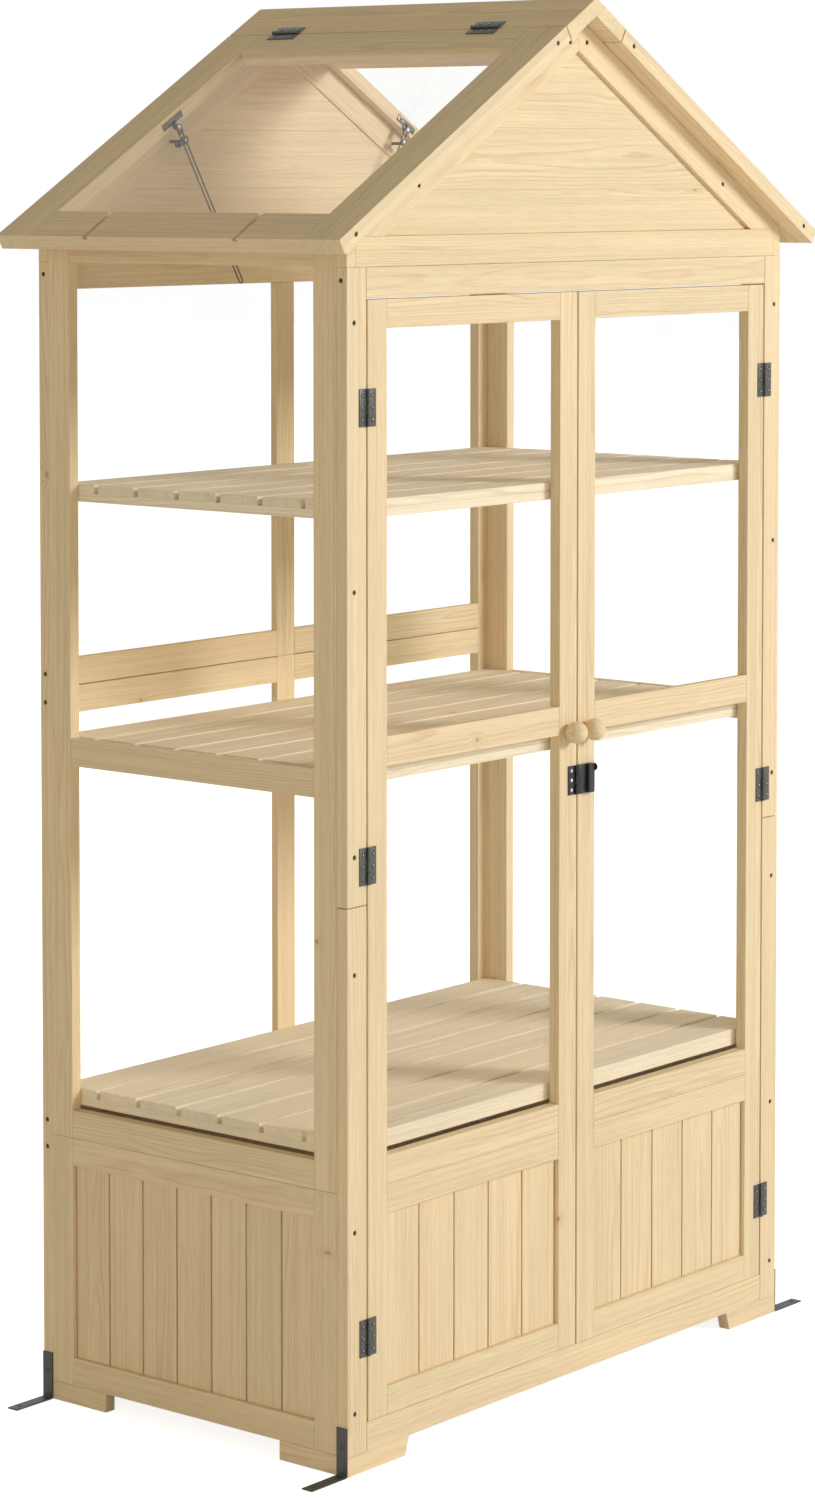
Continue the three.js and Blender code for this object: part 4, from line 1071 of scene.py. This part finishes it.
def make_shelf(name):
    x, y, z = spans(name)
    slat = (y[1] - y[0] - (SLATS - 1) * SLAT_GAP) / SLATS
    underside = z[1] - SLAT
    solid = softened(block(x, (y[0], y[0] + slat), (underside, z[1])), SOFT_EDGE, 3)
    pitch = Y_AXIS * (slat + SLAT_GAP)
    # The slats and bearers take the shelves' pine, whose paler colours are painted light.
    row(f"{name}_slats", solid, X_AXIS, Z_AXIS, SLATS, pitch, SLAT_PINE_PAINTED_LIGHT, "cabinet", [name])
    bearers = Piece(f"{name}_bearers")
    half = BEARER_WIDTH / 2
    for at in (x[0] + half, 0, x[1] - half):
        along = (at - half, at + half)
        bearers.board(along, (y[0] + SHELF_RAIL, y[1]), (z[0], underside), 1, SLAT_PINE_PAINTED_LIGHT)
    bearers.board(x, (y[0], y[0] + SHELF_RAIL), (z[0], underside), 0, SLAT_PINE_PAINTED_LIGHT)
    bearers.made("cabinet", [name])


def make_door(hand):
    body = f"{hand}_door"
    x, y, z = spans(f"{body}_frame")
    inside = pane_opening(f"{body}_pane", 0)
    glazed = pane_opening(f"{body}_pane", 2)
    in_front = (y[0], span(f"{body}_pane", 1)[0] - PANE_PLAY)
    door = Piece(f"{body}_boards")
    for across, depth, height, grain in (
        ((x[0] + DOOR_EASE, inside[0]), y, z, 2),
        ((inside[1], x[1] - DOOR_EASE), y, z, 2),
        (inside, y, (z[0], z[0] + DOOR_FOOT_RAIL), 0),
        (inside, y, (BASE - RAIL, BASE), 0),
        (inside, y, (BASE, glazed[0]), 0),
        (inside, in_front, (DOOR_LOCK_TOP - DOOR_LOCK_RAIL, DOOR_LOCK_TOP), 0),
        (inside, y, (glazed[1], z[1]), 0),
    ):
        door.board(across, depth, height, grain)
    door.made(body, [f"{body}_frame"])
    height = (z[0] + DOOR_FOOT_RAIL, BASE - RAIL)
    planks(f"{body}_planks", "front", inside, height, DOOR_PLANKS, body, f"{body}_frame")


def lid_matrix(hand):
    """A lid's own frame: its hinge pin along Y, and its face level."""
    turn = Matrix.Rotation(SIGNS[hand] * PITCH, 4, "Y")
    return Matrix.Translation(joint_place(f"{hand}_lid_hinge")) @ turn


def make_lid(hand):
    """A lid's four boards, made level in a frame whose X runs down the slope."""
    sign = SIGNS[hand]
    matrix = lid_matrix(hand)
    half = (ROOF_SPAN[1] - ROOF_SPAN[0]) / 2
    length = (-LEFT + EAVE_REACH) / math.cos(PITCH) - RIDGE_BOARD - LID_START
    near, far = -half + LID_SIDE, half - LID_SIDE
    head, sill = LID_START + LID_HEAD, length - LID_EAVE
    z = (LID_TOP - ROOF_BOARD, LID_TOP)

    def down(a, b):
        return sign * a, sign * b

    lid = Piece(f"{hand}_lid_boards")
    screwed = (LID_START + LID_HEAD / 2, (sill + length) / 2)
    for along, end, facing in (((-half, near), -half, -Y_AXIS), ((far, half), half, Y_AXIS)):
        holes = [(Vector((sign * x, end, LID_TOP - ROOF_BOARD / 2)), facing) for x in screwed]
        lid.board(down(LID_START, length), along, z, 0, matrix=matrix, holes=holes)
    lid.board(down(LID_START, head), (near, far), z, 1, matrix=matrix)
    eave = softened(block(sorted(down(sill, length)), (near, far), z), EDGE)
    channels = bmesh.new()
    for share in CHANNEL_SHARES:
        middle = -half + share * 2 * half
        ends = sorted(down(sill - CHANNEL_WIDTH, length + CHANNEL_WIDTH))
        width = (middle - CHANNEL_WIDTH / 2, middle + CHANNEL_WIDTH / 2)
        height = (LID_TOP - CHANNEL_DEPTH, LID_TOP + CHANNEL_DEPTH)
        channels.from_mesh(as_mesh(block(ends, width, height)))
    lid.add(cut_by(eave, channels), FRAME_PINE, Y_AXIS, Z_AXIS, matrix=matrix)
    lid.made(f"{hand}_lid", [f"{hand}_lid_frame"])


# Hinges
HINGE_LENGTH = 0.050
HINGE_LEAF = 0.01675
HINGE_PLATE = 0.0015
KNUCKLE = 0.0025
KNUCKLES = 3
KNUCKLE_PLAY = 0.0004
LEAF_SCREWS = 3
LEAF_SCREW_INSET = 0.0065
LEAF_SCREW_PITCH = 0.016
LEAF_SCREW_RIM = (0.0033, 0.0008)
LEAF_SCREW_HEAD = (0.0017, 0.0014)
SMALL_SCREW = (0.0026, 0.0013)
HINGE_ROWS = (
    # What swings, where its hinges are, what holds the fixed leaf, and that leaf's side
    ("door", ("lower", "middle", "upper"), "post", -1),
    ("lid", ("front", "back"), "ridge", 1),
)


def hinge_leaf(piece, side, is_fixed, matrix):
    """One leaf in the hinge's own frame: pin along Z, wood towards +Y, leaf towards side."""
    half = HINGE_LENGTH / 2
    plate = (KNUCKLE - HINGE_PLATE, KNUCKLE)
    root = KNUCKLE + KNUCKLE_PLAY
    step = HINGE_LENGTH / KNUCKLES
    piece.plate((side * root, side * HINGE_LEAF), plate, (-half, half), GUNMETAL, matrix)
    for i in range(0 if is_fixed else 1, KNUCKLES, 2):
        ends = (i * step - half + KNUCKLE_PLAY / 2, (i + 1) * step - half - KNUCKLE_PLAY / 2)
        piece.plate((0, side * (root + HINGE_PLATE)), plate, ends, GUNMETAL, matrix)
        piece.bar(KNUCKLE, ends, GUNMETAL, matrix)


def leaf_screws(side, matrix):
    """Where a leaf's screws sit, and which way they face."""
    middle = (LEAF_SCREWS - 1) / 2
    facing = matrix.to_3x3() @ -Y_AXIS
    x = side * (HINGE_LEAF - LEAF_SCREW_INSET)
    heights = [(i - middle) * LEAF_SCREW_PITCH for i in range(LEAF_SCREWS)]
    return [(matrix @ Vector((x, KNUCKLE - HINGE_PLATE, z)), facing) for z in heights]


def leaf_fixings(name, places, seed, body):
    """Hinge screws: a black rim, with a light grey steel head standing in it, whose colour is partly
    worn steel and partly a painted glint.
    """
    rims, heads = f"{name}_hinge_screw_rims", f"{name}_hinge_screws"
    screws(rims, places, LEAF_SCREW_RIM, seed, DARK_SCREW, body)
    screws(heads, places, LEAF_SCREW_HEAD, seed, WORN_HEAD_AND_GLINT, body)


def hinge_matrix(hand, kind, place):
    if kind == "door":
        pin = joint_place(f"{hand}_door_hinge")
        low, high = span(f"{hand}_door_{place}_hinge_post_leaf", 2)
        return Matrix.Translation((pin.x, pin.y, (low + high) / 2))
    low, high = span(f"{hand}_lid_{place}_hinge_lid_leaf", 1)
    along = Matrix.Translation((0, (low + high) / 2, 0))
    return lid_matrix(hand) @ along @ Matrix.Rotation(-math.pi / 2, 4, "X")


def make_hinges():
    fixed_screws = []
    for hand in HANDS:
        moving_screws = {"door": [], "lid": []}
        for kind, places, holder, fixed_side in HINGE_ROWS:
            side = -SIGNS[hand] * fixed_side
            for place in places:
                name = f"{hand}_{kind}_{place}_hinge"
                matrix = hinge_matrix(hand, kind, place)
                fixed = Piece(f"{name}_fixed")
                hinge_leaf(fixed, side, True, matrix)
                fixed.made("cabinet", [f"{name}_{holder}_leaf"], "black_metal")
                moving = Piece(f"{name}_moving")
                hinge_leaf(moving, -side, False, matrix)
                moving.made(f"{hand}_{kind}", [f"{name}_{kind}_leaf"], "black_metal")
                fixed_screws += leaf_screws(side, matrix)
                moving_screws[kind] += leaf_screws(-side, matrix)
        for kind, places in moving_screws.items():
            leaf_fixings(f"{hand}_{kind}", places, SCREW_SEEDS[kind], f"{hand}_{kind}")
    leaf_fixings("fixed", fixed_screws, SCREW_SEEDS["fixed"], "cabinet")


KNOB_RADIUS = 0.0155
KNOB_NECK = 0.008
KNOB_REACH = 0.015
KNOB_RINGS = 20
KNOB_SIDES = 32
ACROSS = Matrix.Rotation(math.pi / 2, 4, "Y")
FORWARD = Matrix.Rotation(math.pi / 2, 4, "X")


def make_knob(hand):
    low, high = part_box(f"{hand}_knob")
    middle = (low + high) / 2
    start = math.asin(KNOB_NECK / KNOB_RADIUS)
    profile = [(0, -KNOB_REACH), (KNOB_NECK, -KNOB_REACH)]
    for i in range(KNOB_RINGS):
        angle = math.pi - start - (math.pi - start) * i / KNOB_RINGS
        profile.append((KNOB_RADIUS * math.sin(angle), KNOB_RADIUS * math.cos(angle)))
    profile.append((0, KNOB_RADIUS))
    matrix = Matrix.Translation((middle.x, FRONT - KNOB_REACH, middle.z)) @ FORWARD
    solid = turned(profile, KNOB_SIDES)
    knob = Piece(f"{hand}_turned_knob")
    knob.add(solid, TURNED_PINE, Z_AXIS, X_AXIS, smooth=True, matrix=matrix)
    knob.made(f"{hand}_door", [f"{hand}_knob"])


LATCH_PLATE_WIDTH = 0.015
LATCH_STRAP = 0.0016
LATCH_STRAP_REACH = 0.034
LATCH_RIB_WIDTH = 0.013
LATCH_RIB_HEIGHT = 0.009
LATCH_RIB_WALL = 0.002
LATCH_RIB_EDGE = 0.0011
LATCH_CATCH_REACH = 0.0045
LATCH_PLAY = 0.0005
LATCH_TAB_RADIUS = 0.0055
LATCH_TAB = 0.0016


def make_latch():
    """A hasp: a plate on the left door, a hinged flap with a hollow rib, and a catch."""
    pin = joint_place("latch_flap_hinge")
    low, high = span("latch_plate", 2)
    step = (high - low) / KNUCKLES
    at = Matrix.Translation((pin.x, FRONT, 0))
    knuckle_at = Matrix.Translation((pin.x, pin.y, 0))
    root = KNUCKLE + LATCH_PLAY
    rib = (LATCH_STRAP_REACH - LATCH_RIB_WIDTH, LATCH_STRAP_REACH)
    plate = (-HINGE_PLATE, 0)
    strap = (-HINGE_PLATE - 2 * LATCH_PLAY - LATCH_STRAP, -HINGE_PLATE - 2 * LATCH_PLAY)

    def knuckle(piece, i):
        ends = (low + i * step + LATCH_PLAY / 2, low + (i + 1) * step - LATCH_PLAY / 2)
        piece.bar(KNUCKLE, ends, BLACK, knuckle_at)
        return ends

    fixed = Piece("latch_back_plate")
    left = -root - LATCH_PLATE_WIDTH
    fixed.plate((left, -root), plate, (low, high), BLACK, at)
    for i in (0, 2):
        fixed.plate((-root - HINGE_PLATE, 0), plate, knuckle(fixed, i), BLACK, at)
    fixed.made("left_door", ["latch_plate"], "black_metal")
    middle = at @ Vector((left + LATCH_PLATE_WIDTH / 2, -HINGE_PLATE, 0))
    places = [(middle + Z_AXIS * (low + (i + 0.5) * step), -Y_AXIS) for i in range(KNUCKLES)]
    screws("latch_screws", places, SMALL_SCREW, SCREW_SEEDS["latch"], BRIGHT_SCREW, "left_door")

    flap = Piece("latch_hinged_flap")
    flap.plate((0, root + LATCH_STRAP), strap, knuckle(flap, 1), BLACK, at)
    flap.plate((root, rib[0] + LATCH_RIB_WALL), strap, (low, high), BLACK, at)
    hollow = block(
        (rib[0] + LATCH_RIB_WALL, rib[1] - LATCH_RIB_WALL),
        (-LATCH_RIB_HEIGHT + LATCH_RIB_WALL, LATCH_RIB_WALL),
        (low + LATCH_RIB_WALL, high - LATCH_RIB_WALL),
    )
    shell = block(rib, (-LATCH_RIB_HEIGHT, -HINGE_PLATE - LATCH_PLAY), (low, high))
    flap.add(cut_by(softened(shell, LATCH_RIB_EDGE, 3), hollow), BLACK, matrix=at)
    tab_at = Vector((rib[1], -LATCH_RIB_HEIGHT + LATCH_RIB_WALL, high - LATCH_TAB_RADIUS))
    flap.bar(LATCH_TAB_RADIUS, (0, LATCH_TAB), BLACK, at @ Matrix.Translation(tab_at) @ ACROSS)
    flap.made("latch_flap", ["latch_flap"], "black_metal")

    catch = Piece("latch_catch_plate")
    play = LATCH_RIB_WALL + LATCH_PLAY
    start = span("latch_catch", 0)[0] - pin.x
    lug = (rib[0] + play + LATCH_PLAY, rib[1] - play - LATCH_PLAY)
    lug_height = (low + 2 * play, high - 2 * play)
    catch.plate((start, rib[1]), plate, (low, high), BLACK, at)
    catch.plate(lug, (-LATCH_CATCH_REACH, 0), lug_height, BLACK, at, LATCH_RIB_EDGE)
    catch.made("right_door", ["latch_catch"], "black_metal")


ANCHOR_PLATE = 0.002
ANCHOR_HEEL = 0.0035
ANCHOR_HOLE = 0.003
ANCHOR_HOLE_INSET = 0.014
ANCHOR_SCREW_HEIGHT = 0.040


def make_anchors():
    """Bent straps that hold the corners to the ground."""
    places = []
    for hand in HANDS:
        outer, sign = SIDES[hand], SIGNS[hand]
        for end in ("front", "back"):
            name = f"{hand}_{end}_anchor"
            x, y, z = spans(name)
            reach = x[1] - x[0]
            heel = (ANCHOR_HEEL, ANCHOR_HEEL)
            outline = [(reach, 0), (reach, ANCHOR_PLATE)]
            outline += arc(heel, ANCHOR_HEEL - ANCHOR_PLATE, 270, 180)
            outline += [(ANCHOR_PLATE, z[1]), (0, z[1])]
            outline += arc(heel, ANCHOR_HEEL, 180, 270)
            outline = [(outer + sign * across, up) for across, up in outline]
            middle = (y[0] + y[1]) / 2
            hole = Vector((outer + sign * (reach - ANCHOR_HOLE_INSET), middle, ANCHOR_PLATE))
            strap = softened(extruded(outline, 1, y), METAL_EDGE)
            anchor = Piece(f"{name}_strap")
            anchor.add(bored(strap, [(hole, Z_AXIS, ANCHOR_HOLE, 2 * ANCHOR_PLATE)]), STRAP)
            anchor.made("cabinet", [name], "black_metal")
            screw = Vector((outer + sign * ANCHOR_PLATE, middle, ANCHOR_SCREW_HEIGHT))
            places.append((screw, X_AXIS * sign))
    screws("anchor_screws", places, SMALL_SCREW, SCREW_SEEDS["anchor"], STRAP, "cabinet")


# Stays: a wire bent to a long U, hung from a plate on the lid, sliding in a guide on the gable
STAY_ANGLE = math.radians(31)
STAY_PLATE_WIDTH = 0.009
STAY_PLATE = 0.0017
STAY_EAR_WIDTH = 0.010
STAY_RIVET_RADIUS = 0.0018
STAY_EAR_END = 0.0038
STAY_HEAD_RADIUS = 0.003
STAY_HEAD_RISE = 0.0012
STAY_SCREW_REACH = 0.016
STAY_WIRE = 0.0025
STAY_WIRE_PITCH = 0.007
STAY_SHANK_LENGTH = 0.016
STAY_SHANK_WIDTH = 0.010
STAY_SHANK_STEPS = 16
STAY_EYE = 0.0024
STAY_SLOT = (0.0026, 0.0062, 0.0135)
GUIDE_DISC = 0.0065
GUIDE_DISC_SIDES = 32
GUIDE_DISC_SHIFT = 0.004
GUIDE_PLATE = 0.002
GUIDE_PLAY = 0.0005
GUIDE_PIN = 0.0024
GUIDE_SLOT = 0.0096
GUIDE_BAR = 0.003
GUIDE_RIVET = 0.0022
WIRE_SIDES = 12


def bent_wire_group():
    """A round wire along a path of straight lines, with rounded corners."""
    sizes = {"Wire": STAY_WIRE, "Bend": STAY_WIRE_PITCH / 2, "Sides": WIRE_SIDES}
    tree, given, result = new_geometry_group("bent wire", **sizes)
    sides = given["Sides"]
    path = shape(tree, "MeshToCurve", {"Mesh": given["Geometry"]})
    bend_inputs = {"Curve": path, "Radius": given["Bend"], "Count": sides, "Limit Radius": True}
    bent = shape(tree, "FilletCurve", bend_inputs, mode="POLY")
    section_inputs = {"Resolution": sides, "Radius": calc(tree, "DIVIDE", given["Wire"], 2)}
    section = shape(tree, "CurvePrimitiveCircle", section_inputs)
    wire_inputs = {"Curve": bent, "Profile Curve": section, "Fill Caps": True}
    wire = shape(tree, "CurveToMesh", wire_inputs)
    return end_group(tree, result, with_material(tree, realized(tree, wire), given["Material"]))


BENT_WIRE = bent_wire_group()


def make_stay(hand):
    turn = Matrix.Rotation(SIGNS[hand] * STAY_ANGLE, 4, "Y")
    make_stay_plate(hand, lid_matrix(hand))
    make_stay_wire(hand, Matrix.Translation(joint_place(f"{hand}_stay_rivet")) @ turn)
    make_stay_guide(hand, Matrix.Translation(joint_place(f"{hand}_guide_pin")) @ turn)


def make_stay_plate(hand, matrix):
    name = f"{hand}_stay_plate"
    x, y, z = (span_in(matrix, name, axis) for axis in range(3))
    middle = (x[0] + x[1]) / 2
    rivet = z[0] + STAY_EAR_END
    strip = z[1] - STAY_PLATE_WIDTH
    strip_middle = strip + STAY_PLATE_WIDTH / 2
    plate = Piece(f"{hand}_stay_bracket")
    plate.plate(x, (y[1] - STAY_PLATE, y[1]), (strip, z[1]), STAY_STEEL, matrix)
    left, right = middle - STAY_EAR_WIDTH / 2, middle + STAY_EAR_WIDTH / 2
    ear = [(right, strip_middle), (left, strip_middle), (left, strip)]
    ear += [*arc((middle, rivet), STAY_EAR_END, 180, 360), (right, strip)]
    ear_plate = extruded(ear, 1, (y[1] - STAY_PLATE, y[1] - METAL_EDGE))
    plate.add(softened(ear_plate, METAL_EDGE), STAY_STEEL, matrix=matrix)
    rivet_at = matrix @ Matrix.Translation((middle, 0, rivet)) @ FORWARD
    head = y[0] + STAY_HEAD_RISE
    plate.bar(STAY_RIVET_RADIUS, (-y[1], -head), STAY_STEEL, rivet_at)
    head_at = rivet_at @ Matrix.Translation((0, 0, -head))
    rivet_head = dome(STAY_HEAD_RADIUS, STAY_HEAD_RISE)
    plate.add(rivet_head, BRIGHT_SCREW, smooth=True, matrix=head_at)
    plate.made(f"{hand}_lid", [name], "grey_metal")
    places = [
        (matrix @ Vector((middle + reach, y[1] - STAY_PLATE, strip_middle)), -Y_AXIS)
        for reach in (-STAY_SCREW_REACH, STAY_SCREW_REACH)
    ]
    seed = SCREW_SEEDS["stay"]
    screws(f"{hand}_stay_screws", places, SMALL_SCREW, seed, STAY_STEEL, f"{hand}_lid")


def make_stay_wire(hand, matrix):
    name = f"{hand}_stay_rod"
    y = span_in(matrix, name, 1)
    bottom = span_in(matrix, name, 2)[0] + STAY_WIRE / 2
    half = STAY_SHANK_WIDTH / 2
    end = half - STAY_SHANK_LENGTH
    outline = [*arc((0, 0), half, 0, 180, STAY_SHANK_STEPS), (-half, end), (half, end)]
    shank = softened(extruded(outline, 1, y), METAL_EDGE)
    width, top, low = STAY_SLOT
    slot = block((-width / 2, width / 2), (y[0] - BOARD, y[1] + BOARD), (-low, -top))
    shank = bored(cut_by(shank, slot), [(Vector((0, y[0], 0)), -Y_AXIS, STAY_EYE, BOARD)])
    head = Piece(f"{hand}_stay_shank")
    head.add(shank, STAY_STEEL, matrix=matrix)
    head.made(name, [name], "grey_metal")
    side = STAY_WIRE_PITCH / 2
    corners = [(-side, 0, end), (-side, 0, bottom), (side, 0, bottom), (side, 0, end)]
    path = bpy.data.meshes.new(f"{hand}_stay_wire")
    path.from_pydata([matrix @ Vector(c) for c in corners], [(0, 1), (1, 2), (2, 3)], [])
    wire = new_object(f"{hand}_stay_wire", path)
    grown(wire, BENT_WIRE, Wire=STAY_WIRE, Bend=side, Sides=WIRE_SIDES, Material=STAY_STEEL)
    ready(wire, name, [name])


def make_stay_guide(hand, matrix):
    """A pin on the gable, a plate behind the wires, a bar past them and a disc in front."""
    name = f"{hand}_stay_guide"
    sign = SIGNS[hand]
    behind = STAY_WIRE / 2 + GUIDE_PLAY
    back = (behind, behind + GUIDE_PLATE)
    front = (-behind - GUIDE_PLATE, -behind)
    far = sign * (GUIDE_SLOT + GUIDE_BAR)
    near_disc = -sign * GUIDE_DISC_SHIFT
    guide = Piece(f"{hand}_stay_clip")
    for x, y in (
        ((-sign * GUIDE_BAR, far), back),
        ((sign * GUIDE_SLOT, far), (front[0], back[1])),
        ((near_disc, far), front),
    ):
        guide.plate(x, y, (-GUIDE_BAR, GUIDE_BAR), STAY_STEEL, matrix)
    wall_end = span_in(matrix, name, 1)[1]
    guide.bar(GUIDE_PIN, (-wall_end, -back[0]), STAY_STEEL, matrix @ FORWARD)
    disc_at = matrix @ Matrix.Translation((near_disc, 0, 0)) @ FORWARD
    guide.bar(GUIDE_DISC, (-front[1], -front[0]), STAY_STEEL, disc_at, GUIDE_DISC_SIDES)
    rivet_at = disc_at @ Matrix.Translation((0, 0, -front[0]))
    guide.add(dome(GUIDE_RIVET, STAY_HEAD_RISE / 2), BRIGHT_SCREW, smooth=True, matrix=rivet_at)
    guide.made(name, [name], "grey_metal")


# The stage
FLOOR_HALF = 30
FLOOR_GLOW = 0.84
WORLD_LIGHT = 0.63
WORLD_FADE = 0.72
SHADE_TINT = (1.0, 0.94, 0.79, 1)
TOP_TINT = (1.0, 0.88, 0.6, 1)
LAMPS = (
    # Name, place, what it shines on, size, power and colour
    ("key", (3.4, -6.7, 3.75), (0, 0, 0.9), 2.2, 358, (1, 1, 1)),
    ("back_fill", (1.4, 6.4, 1.9), (0, 0, 1.0), 3.0, 110, (1.0, 0.95, 0.86)),
    ("low_fill", (-4.6, -1.6, 0.35), (0, 0, 1.1), 2.4, 32, (1.0, 0.94, 0.83)),
)
CAMERA_PLACE = (-4.464, -3.6355, 1.7209)
CAMERA_DOWN = 3.108
CAMERA_TURN = 39.377 - 90
CAMERA_LENS = 95.978
CAMERA_SENSOR = 36
CAMERA_SHIFT = -0.24


def make_floor():
    """A white floor that still takes the object's shadow."""
    corners = [(x, y, 0) for x, y in ((-1, -1), (1, -1), (1, 1), (-1, 1))]
    mesh = bpy.data.meshes.new("floor")
    mesh.from_pydata([Vector(corner) * FLOOR_HALF for corner in corners], [], [(0, 1, 2, 3)])
    looks = {"Base_Color": (0.8, 0.8, 0.8, 1), "Roughness": 0.9, "Emission_Color": WHITE}
    material, tree, shader = new_material("floor", **looks)
    glow = calc(tree, "MULTIPLY", seen_directly(tree), FLOOR_GLOW)
    tree.links.new(glow, shader["Emission Strength"])
    mesh.materials.append(material)
    new_object("floor", mesh)


def make_world():
    """White where it is seen. Its light is warmer and weaker from above."""
    world = bpy.data.worlds.new("world")
    bpy.context.scene.world = world
    world.use_nodes = True
    tree = world.node_tree
    background = tree.nodes["Background"].inputs
    seen = seen_directly(tree)
    direction = node(tree, "ShaderNodeTexCoord").outputs["Generated"]
    height = calc(tree, "MAXIMUM", parted(tree, direction)["Z"], 0)
    fade = calc(tree, "MULTIPLY_ADD", height, -WORLD_FADE, 1)
    dim = calc(tree, "MULTIPLY", fade, WORLD_LIGHT)
    light = node(tree, "ShaderNodeMix", {0: seen, 2: dim, 3: 1.0}, data_type="FLOAT").outputs[0]
    tree.links.new(light, background["Strength"])
    tint = blended(tree, height, SHADE_TINT, TOP_TINT)
    tree.links.new(blended(tree, seen, tint, WHITE), background["Color"])


def make_lamp(name, place, target, size, power, colour):
    lamp = bpy.data.lights.new(name, "AREA")
    lamp.energy = power
    lamp.size = size
    lamp.color = colour
    made = new_object(name, lamp)
    made.location = place
    made.rotation_euler = (Vector(target) - Vector(place)).to_track_quat("-Z", "Y").to_euler()


def make_camera():
    data = bpy.data.cameras.new("camera")
    data.lens = CAMERA_LENS
    data.sensor_width = CAMERA_SENSOR
    data.shift_y = CAMERA_SHIFT
    camera = new_object("camera", data)
    camera.location = CAMERA_PLACE
    camera.rotation_euler = (math.radians(90 - CAMERA_DOWN), 0, math.radians(CAMERA_TURN))
    bpy.context.scene.camera = camera


make_camera()
make_floor()
make_world()
for lamp_row in LAMPS:
    make_lamp(*lamp_row)
bpy.context.scene.view_settings.view_transform = "Standard"

make_posts()
make_plinth()
for hand in HANDS:
    make_base(hand)
    make_side(hand)
    make_door(hand)
    make_lid(hand)
    make_knob(hand)
make_back()
make_gable("front")
make_gable("back")
make_ridge()
for shelf in ("upper_shelf", "middle_shelf", "lower_shelf"):
    make_shelf(shelf)
make_hinges()
make_latch()
make_anchors()
for hand in HANDS:
    make_stay(hand)

for name, cad_node in frame["nodes"].items():
    if not name.endswith("pane"):
        continue
    if len(cad_node.data.materials):
        cad_node.data.materials[0] = PANE
    else:
        cad_node.data.materials.append(PANE)
